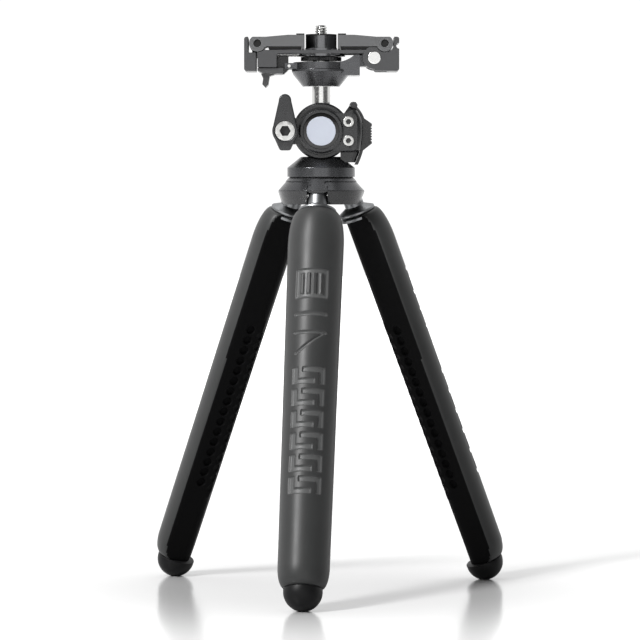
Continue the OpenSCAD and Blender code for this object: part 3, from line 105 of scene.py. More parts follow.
def mesh_piece(name, points, faces, material):
    """A smooth mesh object at the origin, from points in millimetres and a list of faces."""
    mesh = bpy.data.meshes.new(name)
    mesh.from_pydata((np.asarray(points) * MM).tolist(), [], faces)
    mesh.polygons.foreach_set("use_smooth", np.ones(len(mesh.polygons), bool))
    mesh.materials.append(material)
    mesh.update()
    piece = bpy.data.objects.new(name, mesh)
    bpy.context.collection.objects.link(piece)
    return piece


FLOOR_HALF = 6000
CARD_TONE, CARD_ROUGHNESS = 0.82, 0.16
# Painted shadow: the card's colour is darker close to the tripod.
SHADOW_POOL_TONE, SHADOW_POOL_SPAN = 0.4, (0.05, 0.24)
# Painted glow: the card gives off light that rises with distance from the tripod.
GLOW_LEVEL, GLOW_SPAN = 0.75, (0.35, 1.6)
card, card_tree, card_shader = new_material("pale_card", [CARD_TONE] * 3, CARD_ROUGHNESS)
card_place = add_node(card_tree, "ShaderNodeTexCoord")
card_reach = add_node(card_tree, "ShaderNodeVectorMath", operation="LENGTH")
card_tree.links.new(card_place.outputs["Object"], card_reach.inputs[0])
reach_value = card_reach.outputs["Value"]
painted_shadow_pool = ramp(card_tree, reach_value, SHADOW_POOL_SPAN, (SHADOW_POOL_TONE, CARD_TONE))
card_glow = ramp(card_tree, reach_value, GLOW_SPAN, (0.0, GLOW_LEVEL))
card_tree.links.new(painted_shadow_pool, card_shader.inputs["Base Color"])
card_tree.links.new(card_glow, card_shader.inputs["Emission Strength"])
card_shader.inputs["Emission Color"].default_value = (1, 1, 1, 1)
floor_corners = FLOOR_HALF * np.array([[-1, -1, 0], [1, -1, 0], [1, 1, 0], [-1, 1, 0]])
floor = mesh_piece("floor", floor_corners, [(0, 1, 2, 3)], card)

ROOM_LEVEL, BACKDROP_LEVEL, BACKDROP_SPAN = 0.07, 1.06, (-0.35, 0.35)
world = bpy.data.worlds.new("studio")
world.use_nodes = True
sky = world.node_tree
sky_place = add_node(sky, "ShaderNodeTexCoord")
sky_axes = add_node(sky, "ShaderNodeSeparateXYZ")
sky.links.new(sky_place.outputs["Generated"], sky_axes.inputs["Vector"])
sky_level = ramp(sky, sky_axes.outputs["Y"], BACKDROP_SPAN, (ROOM_LEVEL, BACKDROP_LEVEL))
sky.links.new(sky_level, sky.nodes["Background"].inputs["Strength"])
sky.nodes["Background"].inputs["Color"].default_value = (1, 1, 1, 1)
bpy.context.scene.world = world
bpy.context.scene.view_settings.view_transform = "Standard"

# Each soft box has its place and its size in metres, and its power in watts.
SOFT_BOXES = (
    ("key_light", (-1.35, -1.35, 1.7), (0.25, 1.5), 105),
    ("front_light", (0.0, -2.7, 0.4), (2.6, 0.8), 8),
    ("top_light", (0.0, 0.35, 1.9), (1.2, 1.2), 8),
)
AIM_HEIGHT = 0.18
for light_name, place, size, watts in SOFT_BOXES:
    light_data = bpy.data.lights.new(light_name, "AREA")
    light_data.shape = "RECTANGLE"
    light_data.size, light_data.size_y = size
    light_data.energy = watts
    light = bpy.data.objects.new(light_name, light_data)
    light.location = place
    aim = np.array([0, 0, AIM_HEIGHT]) - np.array(place)
    tip = math.atan2(math.hypot(aim[0], aim[1]), -aim[2])
    light.rotation_euler = (tip, 0, math.atan2(aim[0], -aim[1]) + math.pi)
    bpy.context.collection.objects.link(light)

# Leg sleeves. Each leg is a dark grey rubber sleeve over a bundle of soft wires:
# round outside, two flats inside with rows of blind recesses, and a key pattern
# sunk into the round face.
SPLAY, FIRST_LEG, LEG_TURN, LEG_SPACING = math.radians(22), 270, 5.4, 120
LEG_LEN, FOOT_HEIGHT = 210.2, 9.5
PIVOT_R, PIVOT_Z = 16.9, FOOT_HEIGHT + LEG_LEN * math.cos(SPLAY)
SLEEVE_TOP, SLEEVE_END = 10.0, 208.9
SHOULDER, TOE = 18.0, 10.5
TOP_R, FULL_R, THIN_R, TOE_R = 9.7, 14.4, 13.0, 9.0
EDGE_DEPTH, EDGE_TRIM, GRIP_TRIM = 8.0, 1.0, 0.25
FLAT_ANGLE = math.radians(60)
GRIP_START, GRIP_LEN, GRIP_EASE = 69.0, 102.0, 1.0
RECESS_COUNT, RECESS_PITCH, RECESS_R, RECESS_DEPTH, RECESS_INSET = 16, 5.87, 2.35, 1.8, 7.1
RECESS_LIP, SCOOP_LIP, FLAT_NEAR = (-0.3, 0.1), (-0.25, 0.15), 1.5
KEY_COUNT, KEY_PITCH, KEY_TOP, KEY_W, KEY_H, KEY_BAR = 6, 11.4, 97.7, 16.0, 8.5, 2.45
KEY_DEPTH, OUTER_X = 0.75, -4
PANEL_TOP, PANEL_H, PANEL_RIM = 45.6, 15.1, 2
PANEL_RIBS, PANEL_RIB_PITCH, PANEL_RIB_HALF = 4, 3.4, 0.9
LINES_AT, LINE_W = (69.0, 78.6), 1.2
SLANT_AT, SLANT_RISE, SLANT_EDGE = 84.64, 0.78, (0.35, 1.0)
SLANT_LEFT, SLANT_RIGHT = (-7.3, -6.8), (6.6, 7.1)
AROUND, CROWDING = 222, 0.055
BLEND_POWER, LEAST_FACING = 26.0, 0.05


def smooth_step(value, low, high):
    """0 below low, 1 above high, and a smooth cubic ramp between."""
    t = np.clip((value - low) / (high - low), 0, 1)
    return t * t * (3 - 2 * t)


def soft_box(across, along, x0, x1, s0, s1, edge=0.16):
    """1 inside the rectangle x0..x1, s0..s1 and 0 outside, with a short ramp at its sides."""
    wide = smooth_step(across, x0 - edge, x0 + edge) * (1 - smooth_step(across, x1 - edge, x1 + edge))
    long = smooth_step(along, s0 - edge, s0 + edge) * (1 - smooth_step(along, s1 - edge, s1 + edge))
    return wide * long


def key_relief(across, along):
    """Depth of the outer face's sunk pattern: the greatest of the parts at each point.

    The parts are six pairs of hooked bars, a panel with four ribs left standing, two lines and a
    slanting groove.
    """
    half = KEY_W / 2
    relief = np.zeros_like(across)
    for k in range(KEY_COUNT):
        top = KEY_TOP + k * KEY_PITCH
        low = top + KEY_H
        hooks = (soft_box(across, along, -half, -half + KEY_BAR, top, low),
                 soft_box(across, along, -half, half - 2 * KEY_BAR, low - KEY_BAR, low),
                 soft_box(across, along, -half + 2 * KEY_BAR, half, top, top + KEY_BAR),
                 soft_box(across, along, half - KEY_BAR, half, top, low))
        relief = np.maximum(relief, np.maximum.reduce(hooks))
    panel_low = PANEL_TOP + PANEL_H
    panel = soft_box(across, along, -half, half, PANEL_TOP, panel_low)
    for k in range(PANEL_RIBS):
        middle = (k - (PANEL_RIBS - 1) / 2) * PANEL_RIB_PITCH
        panel = panel - soft_box(across, along, middle - PANEL_RIB_HALF, middle + PANEL_RIB_HALF,
                                 PANEL_TOP + PANEL_RIM, panel_low - PANEL_RIM)
    for line_at in LINES_AT:
        panel = np.maximum(panel, soft_box(across, along, -half, half, line_at, line_at + LINE_W))
    groove = 1 - smooth_step(np.abs(along - SLANT_AT + SLANT_RISE * across), *SLANT_EDGE)
    groove = groove * smooth_step(across, *SLANT_LEFT) * (1 - smooth_step(across, *SLANT_RIGHT))
    return KEY_DEPTH * np.maximum(np.maximum(relief, panel), groove)


def sleeve_radius(s):
    """Round radius at distance s: a quarter-ellipse shoulder, a straight taper and a quarter-ellipse toe."""
    shoulder = np.clip(1 - (s - SLEEVE_TOP) / SHOULDER, 0, 1)
    toe = np.clip(1 - (SLEEVE_END - s) / TOE, 0, 1)
    taper_t = np.clip((s - SLEEVE_TOP - SHOULDER) / (SLEEVE_END - TOE - SLEEVE_TOP - SHOULDER), 0, 1)
    body = FULL_R + (THIN_R - FULL_R) * taper_t
    top = TOP_R + (FULL_R - TOP_R) * np.sqrt(1 - shoulder ** 2)
    low = TOE_R + (THIN_R - TOE_R) * np.sqrt(1 - toe ** 2)
    return np.where(shoulder > 0, top, np.where(toe > 0, low, body))


def leg_to_shared(points, number):
    """From a leg's own frame, with Z down the leg and X inward, to the shared frame, in millimetres.

    The leg is tilted by its splay, set out from the hub's axis at its hinge and turned to its own side.
    """
    azimuth = math.radians(FIRST_LEG - LEG_TURN + LEG_SPACING * (number - 1))
    x, y, z = points[..., 0], points[..., 1], points[..., 2]
    tilt = math.pi - SPLAY
    radial = PIVOT_R + x * math.cos(tilt) + z * math.sin(tilt)
    up = PIVOT_Z - x * math.sin(tilt) + z * math.cos(tilt)
    return np.stack([radial * math.cos(azimuth) - y * math.sin(azimuth),
                     radial * math.sin(azimuth) + y * math.cos(azimuth), up], -1)


def grid_faces(rows, columns):
    """Quads of a grid whose columns wrap round, row by row; its first and last rows are left open."""
    i, j = np.meshgrid(np.arange(rows - 1), np.arange(columns), indexing="ij")
    here, below = i * columns, (i + 1) * columns
    right = (j + 1) % columns
    return np.stack([here + j, here + right, below + right, below + j], -1).reshape(-1, 4)


def fanned_faces(rows, columns):
    """The faces of a wrapped grid with a fan at each end, to two points that follow the grid's own."""
    ring = np.arange(columns)
    following = (ring + 1) % columns
    last = (rows - 1) * columns
    pole = np.full(columns, rows * columns)
    first_fan = np.stack([pole, following, ring], -1)
    last_fan = np.stack([pole + 1, last + ring, last + following], -1)
    return grid_faces(rows, columns).tolist() + first_fan.tolist() + last_fan.tolist()


# Rows of the sleeve's grid: from, to and how many, closest over the panel and the grip.
SLEEVE_ROWS = ((SLEEVE_TOP, 28, 30), (28, 42.5, 8), (42.5, 59.5, 56), (59.5, 69, 12), (69, 172, 300),
               (172, 198, 10), (198, SLEEVE_END, 20))


def sleeve_points():
    """Sleeve surface: the least of the round, the two flats and the crest, less the recesses and the relief.

    The least is a power mean, which softens the corners. Also gives each point's share of the round face,
    which is 0 on the flats, and its share of a sunk stroke's floor.
    """
    s = np.concatenate([np.linspace(low, high, count, endpoint=high == SLEEVE_END)
                        for low, high, count in SLEEVE_ROWS])
    turn = np.arange(AROUND) / AROUND
    angle = 2 * math.pi * (turn - CROWDING * np.sin(4 * math.pi * turn))
    s, angle = np.meshgrid(s, angle, indexing="ij")
    grip_end = GRIP_START + GRIP_LEN
    grip = (smooth_step(s, GRIP_START - GRIP_EASE, GRIP_START + GRIP_EASE)
            * (1 - smooth_step(s, grip_end - GRIP_EASE, grip_end + GRIP_EASE)))
    crest = EDGE_DEPTH - EDGE_TRIM + (EDGE_TRIM - GRIP_TRIM) * grip
    flat_distance = EDGE_DEPTH * math.sin(FLAT_ANGLE)
    lean = math.pi / 2 - FLAT_ANGLE
    planes = ((np.cos(angle - lean), flat_distance), (np.cos(angle + lean), flat_distance),
              (np.cos(angle), crest))
    round_part = sleeve_radius(s) ** -BLEND_POWER
    total = round_part
    for facing, distance in planes:
        near = (np.maximum(facing, LEAST_FACING) / distance) ** BLEND_POWER
        total = total + np.where(facing > LEAST_FACING, near, 0)
    radius = total ** (-1 / BLEND_POWER)
    x, y = radius * np.cos(angle), radius * np.sin(angle)
    first = GRIP_START + (GRIP_LEN - (RECESS_COUNT - 0.5) * RECESS_PITCH) / 2
    recess_row = np.clip(np.round((s - first) / RECESS_PITCH), 0, RECESS_COUNT - 1)
    for side in (-1, 1):
        normal = np.array([math.cos(lean), side * math.sin(lean)])
        tangent = np.array([-math.sin(lean), side * math.cos(lean)])
        off = flat_distance - (x * normal[0] + y * normal[1])
        along = x * tangent[0] + y * tangent[1] - (RECESS_INSET - EDGE_DEPTH * math.cos(FLAT_ANGLE))
        reach = np.hypot(along, s - first - recess_row * RECESS_PITCH)
        hole = 1 - smooth_step(reach, RECESS_R + RECESS_LIP[0], RECESS_R + RECESS_LIP[1])
        sunk = RECESS_DEPTH * hole * (np.abs(off) < FLAT_NEAR)
        x, y = x - sunk * normal[0], y - sunk * normal[1]
    scoop_row = np.clip(np.round((s - first) / RECESS_PITCH - 0.5), 0, RECESS_COUNT - 1)
    reach = np.hypot(y, s - first - (scoop_row + 0.5) * RECESS_PITCH)
    scoop = (1 - smooth_step(reach, RECESS_R + SCOOP_LIP[0], RECESS_R + SCOOP_LIP[1])) * (x > 0)
    x = x + scoop * (np.minimum(x, EDGE_DEPTH - RECESS_DEPTH) - x)
    outer = np.hypot(x, y)
    sunk = key_relief(y, s) * (x < OUTER_X)
    x, y = x * (1 - sunk / outer), y * (1 - sunk / outer)
    return np.stack([x, y, s], -1), round_part / total, sunk / KEY_DEPTH


RUBBER_TINT, RUBBER_SPREAD = (0.9, 1.12), (-0.05, 0.07)
COLOUR_A, COLOUR_B, COLOUR_OUT = 6, 7, 2


def rubber_material(name, colour, roughness, gloss=0.12):
    """Moulded rubber: a fine stipple for the bump, a slow mottle for the roughness and a dusty tint."""
    material, tree, shader = new_material(name, colour, roughness)
    shader.inputs["Specular IOR Level"].default_value = gloss
    place = add_node(tree, "ShaderNodeTexCoord")
    stipple = add_node(tree, "ShaderNodeTexNoise", Scale=1400.0, Detail=2.0)
    mottle = add_node(tree, "ShaderNodeTexNoise", Scale=60.0, Detail=4.0)
    bump = add_node(tree, "ShaderNodeBump", Strength=0.12, Distance=0.0002)
    tint = add_node(tree, "ShaderNodeMix", data_type="RGBA")
    tint.inputs[COLOUR_A].default_value = (*[c * RUBBER_TINT[0] for c in colour], 1)
    tint.inputs[COLOUR_B].default_value = (*[c * RUBBER_TINT[1] for c in colour], 1)
    tree.links.new(place.outputs["Object"], stipple.inputs["Vector"])
    tree.links.new(place.outputs["Object"], mottle.inputs["Vector"])
    tree.links.new(stipple.outputs["Fac"], bump.inputs["Height"])
    tree.links.new(bump.outputs["Normal"], shader.inputs["Normal"])
    levels = [roughness + change for change in RUBBER_SPREAD]
    rough = ramp(tree, mottle.outputs["Fac"], (0, 1), levels, "LINEAR")
    tree.links.new(rough, shader.inputs["Roughness"])
    tree.links.new(mottle.outputs["Fac"], tint.inputs["Factor"])
    tree.links.new(tint.outputs[COLOUR_OUT], shader.inputs["Base Color"])
    return material


sleeve_rubber = rubber_material("sleeve_rubber", (0.026, 0.0265, 0.0265), 0.4, gloss=0.24)
# The flats' near-black rubber is painted shade: it darkens the inner flats, which face down and away from the
# lamps.
painted_shade_rubber = rubber_material("painted_shade_rubber", (0.0035, 0.0035, 0.0037), 0.6, gloss=0.04)
STROKE_COLOUR = (0.062, 0.063, 0.063, 1)
sleeve_tree = sleeve_rubber.node_tree
sleeve_base = sleeve_tree.nodes["Principled BSDF"].inputs["Base Color"]
stroke_share = add_node(sleeve_tree, "ShaderNodeAttribute", attribute_name="stroke_floor")
stroke_tone = add_node(sleeve_tree, "ShaderNodeMix", data_type="RGBA")
stroke_tone.inputs[COLOUR_B].default_value = STROKE_COLOUR
sleeve_tree.links.new(sleeve_base.links[0].from_socket, stroke_tone.inputs[COLOUR_A])
sleeve_tree.links.new(stroke_share.outputs["Fac"], stroke_tone.inputs["Factor"])
sleeve_tree.links.new(stroke_tone.outputs[COLOUR_OUT], sleeve_base)

sleeve_grid, round_share, stroke_floor = sleeve_points()
sleeve_rows = sleeve_grid.shape[0]
sleeve_local = np.concatenate([sleeve_grid.reshape(-1, 3), [[0, 0, SLEEVE_TOP], [0, 0, SLEEVE_END]]])
stroke_floor = np.concatenate([stroke_floor.ravel(), [0, 0]])
sleeve_faces = fanned_faces(sleeve_rows, AROUND)
# Faces on the flats; they take the painted shade rubber.
flat_quads = round_share.ravel()[grid_faces(sleeve_rows, AROUND)].mean(1) < 0.5
face_materials = np.concatenate([flat_quads, np.zeros(2 * AROUND, bool)]).astype(np.int32)


def bend_with_leg(piece):
    """Bakes a piece's placement into its mesh."""
    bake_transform(piece)


for number in (1, 2, 3):
    sleeve = mesh_piece(f"leg_{number}_rubber_sleeve", leg_to_shared(sleeve_local, number), sleeve_faces,
                        sleeve_rubber)
    sleeve.data.attributes.new("stroke_floor", "FLOAT", "POINT").data.foreach_set("value", stroke_floor)
    sleeve.data.materials.append(painted_shade_rubber)
    sleeve.data.polygons.foreach_set("material_index", face_materials)
    bend_with_leg(sleeve)
    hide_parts(f"leg_{number}_sleeve_upper", f"leg_{number}_sleeve_bend",
                f"leg_{number}_sleeve_lower")

# Core wires. Seven soft drawn wires lie inside each sleeve and hold its bend; they
# are hidden.
WIRE_D, WIRE_TOP, WIRE_END, WIRE_SIDES, WIRE_RINGS = 2.1, 12.4, 198.9, 12, 48
WIRE_SPACING, WIRES_ROUND = 2.18, 6
METAL_SPREAD = (-0.05, 0.06)


def metal_material(name, colour, roughness, metallic=1.0, grain=900.0, strength=0.012):
    """Worked metal: a fine grain in the bump and in the roughness."""
    material, tree, shader = new_material(name, colour, roughness, metallic)
    place = add_node(tree, "ShaderNodeTexCoord")
    grain_noise = add_node(tree, "ShaderNodeTexNoise", Scale=grain, Detail=3.0)
    bump = add_node(tree, "ShaderNodeBump", Strength=strength, Distance=0.0001)
    tree.links.new(place.outputs["Object"], grain_noise.inputs["Vector"])
    tree.links.new(grain_noise.outputs["Fac"], bump.inputs["Height"])
    tree.links.new(bump.outputs["Normal"], shader.inputs["Normal"])
    levels = [roughness + change for change in METAL_SPREAD]
    rough = ramp(tree, grain_noise.outputs["Fac"], (0, 1), levels, "LINEAR")
    tree.links.new(rough, shader.inputs["Roughness"])
    return material


def capped_faces(rows, columns):
    """The faces of a wrapped grid with one flat cap on its first row and one on its last."""
    last = (rows - 1) * columns
    caps = [list(reversed(range(columns))), list(range(last, last + columns))]
    return grid_faces(rows, columns).tolist() + caps


drawn_wire = metal_material("drawn_wire", (0.72, 0.72, 0.72), 0.32)
wire_angle = np.arange(WIRE_SIDES) * 2 * math.pi / WIRE_SIDES
wire_tube = np.zeros((WIRE_RINGS, WIRE_SIDES, 3))
wire_tube[..., 0] = WIRE_D / 2 * np.cos(wire_angle)
wire_tube[..., 1] = WIRE_D / 2 * np.sin(wire_angle)
wire_tube[..., 2] = np.linspace(WIRE_TOP, WIRE_END, WIRE_RINGS)[:, None]
wire_turns = np.arange(1, WIRES_ROUND + 1) * 2 * math.pi / WIRES_ROUND
wire_places = np.zeros((WIRES_ROUND + 1, 1, 3))
wire_places[1:, 0, 0] = WIRE_SPACING * np.cos(wire_turns)
wire_places[1:, 0, 1] = WIRE_SPACING * np.sin(wire_turns)
wire_points = (wire_tube.reshape(1, -1, 3) + wire_places).reshape(-1, 3)
one_wire = capped_faces(WIRE_RINGS, WIRE_SIDES)
wire_faces = [[k * WIRE_RINGS * WIRE_SIDES + corner for corner in face]
              for k in range(WIRES_ROUND + 1) for face in one_wire]
for number in (1, 2, 3):
    wires = mesh_piece(f"leg_{number}_wire_bundle", leg_to_shared(wire_points, number), wire_faces,
                       drawn_wire)
    bend_with_leg(wires)
    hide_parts(f"leg_{number}_wires")

# Feet and stems. The feet are domed black rubber plugs; each stem is turned from
# dark anodised metal with a flared collar, and swings on a pin in the hub.
foot_rubber = rubber_material("foot_rubber", (0.0055, 0.0055, 0.0058), 0.42, gloss=0.14)
stem_metal = metal_material("anodised_stem", (0.2, 0.205, 0.21), 0.42)
WELD, FLAT_TURN, EDGE_TURN, SHARP_TURN = 2e-6, math.radians(0.6), math.radians(30), math.radians(38)


def softened(node, material, width, body):
    """A copy of a solid with its doubles merged and its edges rounded, which takes the node's place."""
    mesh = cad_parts[node].data.copy()
    mesh.name = node + "_rounded"
    work = bmesh.new()
    work.from_mesh(mesh)
    bmesh.ops.remove_doubles(work, verts=work.verts, dist=WELD)
    bmesh.ops.dissolve_limit(work, angle_limit=FLAT_TURN, verts=work.verts, edges=work.edges)
    edges = [e for e in work.edges if len(e.link_faces) == 2 and e.calc_face_angle(0) > EDGE_TURN]
    bmesh.ops.bevel(work, geom=edges, offset=width * MM, segments=2, profile=0.6, affect="EDGES",
                    clamp_overlap=True)
    bmesh.ops.triangulate(work, faces=[f for f in work.faces if len(f.verts) > 4])
    work.to_mesh(mesh)
    work.free()
    mesh.materials.clear()
    mesh.materials.append(material)
    mesh.polygons.foreach_set("use_smooth", np.ones(len(mesh.polygons), bool))
    mesh.set_sharp_from_angle(angle=SHARP_TURN)
    piece = bpy.data.objects.new(node + "_rounded", mesh)
    bpy.context.collection.objects.link(piece)
    piece.modifiers.new("even_shading", "WEIGHTED_NORMAL").keep_sharp = True
    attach(piece, body)
    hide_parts(node)
    return piece


def finish_node(node, material):
    """Gives a solid that stays as it is its own finish."""
    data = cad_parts[node].data
    data.materials.clear()
    data.materials.append(material)


def revolved(profile, around):
    """Closed surface of a profile of (radius, height) points turned about Z.

    Its first and last points lie on Z and become the two ends' middles.
    """
    profile = np.asarray(profile, float)
    turn = np.arange(around) * 2 * math.pi / around
    rings = profile[1:-1]
    points = np.stack([rings[:, :1] * np.cos(turn), rings[:, :1] * np.sin(turn),
                       np.repeat(rings[:, 1:], around, axis=1)], -1).reshape(-1, 3)
    points = np.concatenate([points, [[0, 0, profile[0, 1]], [0, 0, profile[-1, 1]]]])
    return points, fanned_faces(len(rings), around)


FOOT_R, FOOT_RIM, FOOT_EDGE, PEG_R, PEG_LEN, PEG_EDGE = 9.8, 1.3, 0.35, 3.2, 9.0, 0.4
TURNED_SIDES = 96
dome = np.linspace(0, math.pi / 2, 26)
edge_turn = np.linspace(-math.pi / 2, 0, 5)
foot_top = LEG_LEN - FOOT_RIM
peg_top = foot_top - PEG_LEN
foot_profile = [(0, peg_top), (PEG_R - PEG_EDGE, peg_top), (PEG_R, peg_top + PEG_EDGE), (PEG_R, foot_top)]
foot_profile += [(FOOT_R - FOOT_EDGE + FOOT_EDGE * math.cos(a),
                  foot_top + FOOT_EDGE + FOOT_EDGE * math.sin(a)) for a in edge_turn]
foot_profile += [(FOOT_R * math.cos(a), LEG_LEN + FOOT_R * math.sin(a)) for a in dome]
foot_local, foot_faces = revolved(foot_profile, TURNED_SIDES)

COLLAR_TOP, COLLAR_FULL, COLLAR_END, COLLAR_R, COLLAR_IN = 6.0, 8.5, 9.9, 9.7, 5.05
FLARE_TIP, COLLAR_STEP, COLLAR_EDGE = (0.3, 0.2), 0.1, 0.4
collar_profile = [(0, COLLAR_TOP), (COLLAR_IN, COLLAR_TOP),
                  (COLLAR_R - FLARE_TIP[0], COLLAR_FULL - FLARE_TIP[1]),
                  (COLLAR_R, COLLAR_FULL + COLLAR_STEP), (COLLAR_R, COLLAR_END - COLLAR_EDGE),
                  (COLLAR_R - COLLAR_EDGE, COLLAR_END), (0, COLLAR_END)]
collar_local, collar_faces = revolved(collar_profile, TURNED_SIDES)
for number in (1, 2, 3):
    collar = mesh_piece(f"leg_{number}_collar", leg_to_shared(collar_local, number), collar_faces, stem_metal)
    collar.data.set_sharp_from_angle(angle=math.radians(25))
    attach(collar, f"leg_{number}_upper")
    foot_points = leg_to_shared(foot_local, number)
    foot_points[:, 2] = np.maximum(foot_points[:, 2], 0)
    foot = mesh_piece(f"leg_{number}_rubber_foot", foot_points, foot_faces, foot_rubber)
    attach(foot, f"leg_{number}_lower")
    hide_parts(f"leg_{number}_foot")
    softened(f"leg_{number}_stem", stem_metal, 0.3, f"leg_{number}_upper")

# Hub. A dark anodised cap over a cast skirt with a satin black coat; pins for the legs
# are caught between them, and one bolt with thin washers hangs the hub on the pan base.
black_coat = metal_material("satin_black_coat", (0.01, 0.0103, 0.0112), 0.27, metallic=0.0, grain=1500.0)
dark_anodised = metal_material("dark_anodised", (0.07, 0.0712, 0.0747), 0.26, metallic=0.9, grain=1200.0)
polished_steel = metal_material("polished_steel", (0.66, 0.66, 0.65), 0.16, grain=500.0, strength=0.008)
washer_nylon = rubber_material("washer_nylon", (0.02, 0.02, 0.02), 0.5)
softened("hub_skirt", black_coat, 0.25, "hub")
softened("hub_cap", dark_anodised, 0.25, "hub")
finish_node("leg_hinge_pins", polished_steel)
finish_node("hub_bolt", polished_steel)
finish_node("hub_washers", washer_nylon)

# Ball head. The pan base turns on the hub; two machined shells with ears grip the
# steel ball on its nylon seat, and a bare pale disc sits in the front shell's bezel.
nylon = rubber_material("nylon_seat", (0.7, 0.69, 0.64), 0.45)
badge_black = metal_material("gloss_black_ring", (0.006, 0.006, 0.006), 0.16, metallic=0.0)
badge_pale = metal_material("pale_disc", (0.34, 0.362, 0.415), 0.3, metallic=0.0, grain=300.0, strength=0.01)
satin_steel = metal_material("satin_steel", (0.5, 0.5, 0.49), 0.34, grain=700.0, strength=0.02)
# Painted shade: a near-black material for the insides of the screws' sockets, where shade falls.
socket_painted_shade = metal_material("socket_painted_shade", (0.004, 0.004, 0.004), 0.5, metallic=0.0)
SOCKET_SHARE, SOCKET_EDGE, SOCKET_DEPTH = 0.32, 0.25, 2.4


def face_rows(mesh, fact):
    """A fact of three numbers, such as the centre or the normal, for each face of a mesh."""
    values = np.empty(3 * len(mesh.polygons), np.float32)
    mesh.polygons.foreach_get(fact, values)
    return values.reshape(-1, 3).astype(float)


def second_finish(piece, faces, material):
    """Gives the chosen faces of a piece a second material."""
    piece.data.materials.append(material)
    piece.data.polygons.foreach_set("material_index", faces.astype(np.int32))


def paint_socket_shade(piece, node):
    """Paints shade into the sockets of one screw, or of two in line along Z, as a near-black material on
    their inside faces.

    A face counts when it lies near its screw's axis and a little behind the head's front.
    """
    low, high = (np.array(corner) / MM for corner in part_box(node))
    head = high[0] - low[0]
    x, y, z = face_rows(piece.data, "center").T / MM
    axes = (low[2] + head / 2, high[2] - head / 2)
    reach = np.minimum.reduce([np.hypot(x - low[0] - head / 2, z - axis) for axis in axes])
    depth = y - low[1]
    inside = (reach < SOCKET_SHARE * head) & (depth > SOCKET_EDGE) & (depth < SOCKET_DEPTH)
    second_finish(piece, inside, socket_painted_shade)


softened("pan_base", dark_anodised, 0.35, "pan")
softened("front_shell", black_coat, 0.3, "pan")
softened("rear_shell", black_coat, 0.3, "pan")
# The shell screws' sockets get painted shade.
paint_socket_shade(softened("shell_screws", satin_steel, 0.2, "pan"), "shell_screws")
softened("badge_ring", badge_black, 0.15, "pan")
softened("badge_disc", badge_pale, 0.15, "pan")
softened("lock_nut", polished_steel, 0.2, "pan")
finish_node("thumb_lock_pin", badge_black)
finish_node("ball_seat", nylon)
finish_node("ball", polished_steel)

# Right ear's flank. The cast ear ends in a curved flank that follows the thumb lock
# beside it; it has the shells' black coat.
BALL_Z = sum(corner[2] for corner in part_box("badge_disc")) / 2 / MM
LOCK_ARC_R, LOCK_ARC_X, LOCK_LEAN, LEAN_FROM = 38.0, -16.7, 0.039, 5.0
LOCK_GAP = 0.12
FLANK_LOW, FLANK_SLOPE, FLANK_TOP = -16.0, 8.2, 10.8
FLANK_IN, FLANK_TOP_IN, FLANK_ROUND, LEAST_FACE = 10.0, 15.6, 3.2, 0.1
EAR_FRONT, STEP_FRONT, STEP_SPAN = 12.4, 6.5, (-10.6, -9.6)
EAR_BACK, SLOT_FRONT, SLOT_SPAN = 8.0, 6.2, (2.5, 4.0)
FLANK_ROWS, FLANK_TURNS = 48, 10


def lock_side(radius, z):
    """The thumb lock's side at height z: an arc that leans in by a square law near its top."""
    return np.sqrt(radius ** 2 - z ** 2) + LOCK_ARC_X - LOCK_LEAN * np.maximum(z - LEAN_FROM, 0) ** 2


def flank_points():
    """At each height a front face, a quarter-round edge, a side that follows the lock, and a back.

    The front steps back low down, the inner side slopes in near the top, and the back leaves the neck's
    slot open.
    """
    z = np.linspace(FLANK_LOW, FLANK_TOP, FLANK_ROWS)[:, None]
    side = lock_side(LOCK_ARC_R - LOCK_GAP, z)
    front = -STEP_FRONT - (EAR_FRONT - STEP_FRONT) * smooth_step(z, *STEP_SPAN)
    turn = np.linspace(0, math.pi / 2, FLANK_TURNS)[None, :]
    slope = np.clip((z - FLANK_SLOPE) / (FLANK_TOP - FLANK_SLOPE), 0, 1)
    inner = FLANK_IN + (FLANK_TOP_IN - FLANK_IN) * slope
    back = EAR_BACK - (EAR_BACK + SLOT_FRONT) * smooth_step(z, *SLOT_SPAN)
    edge = np.minimum(FLANK_ROUND, side - inner - LEAST_FACE)
    x = np.concatenate([inner, side - edge * (1 - np.sin(turn)), side, inner], 1)
    y = np.concatenate([front, front + edge * (1 - np.cos(turn)), back, back], 1)
    return np.stack([x, y, np.repeat(z, x.shape[1], 1) + BALL_Z], -1)


flank_grid = flank_points()
flank_faces = capped_faces(*flank_grid.shape[:2])
flank = mesh_piece("right_ear_flank", flank_grid.reshape(-1, 3), flank_faces, black_coat)
flank.data.set_sharp_from_angle(angle=math.radians(35))
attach(flank, "pan")

# Levers. The lock lever clamps the shells by its screw; the curved thumb lock with
# its ribbed rest swings out at the right. Both are black coated metal.
softened("lock_lever", black_coat, 0.6, "lock")
# The lock screw's socket gets painted shade.
paint_socket_shade(softened("lock_screw", satin_steel, 0.3, "lock"), "lock_screw")
LOCK_T, LOCK_LOW, LOCK_HALF = 1.6, -17.2, 5.6
OUTER_TOP, INNER_TOP = 12.6, 11.4
REST_LOW, REST_TOP, REST_X = (-9.9, -6.3), (3.9, 6.7), 26.2
RIB_LOW, RIB_PITCH, RIB_COUNT = -5.2, 1.4, 6
GROOVE_DEPTH, GROOVE_Z, GROOVE_X = 0.55, np.array([0, 0.15, 0.6, 0.75]), np.array([0, 1, 1, 0])
LOCK_BEAK = [(18.8, 13.6), (17.9, 15.1), (16.5, 15.2), (15.0, 14.0), (15.2, 12.6), (16.6, 11.9), (17.3, 12.0)]


def extruded(outline, y0, y1):
    """Closed solid of an (x, z) outline, anticlockwise from the front, carried along Y from y0 to y1."""
    outline = np.asarray(outline, float)
    count = len(outline)
    this = np.arange(count)
    following = (this + 1) % count
    points = np.concatenate([np.insert(outline, 1, y, axis=1) for y in (y0, y1)])
    sides = np.stack([this, this + count, following + count, following], -1)
    return points, sides.tolist() + [this.tolist(), (this[::-1] + count).tolist()]


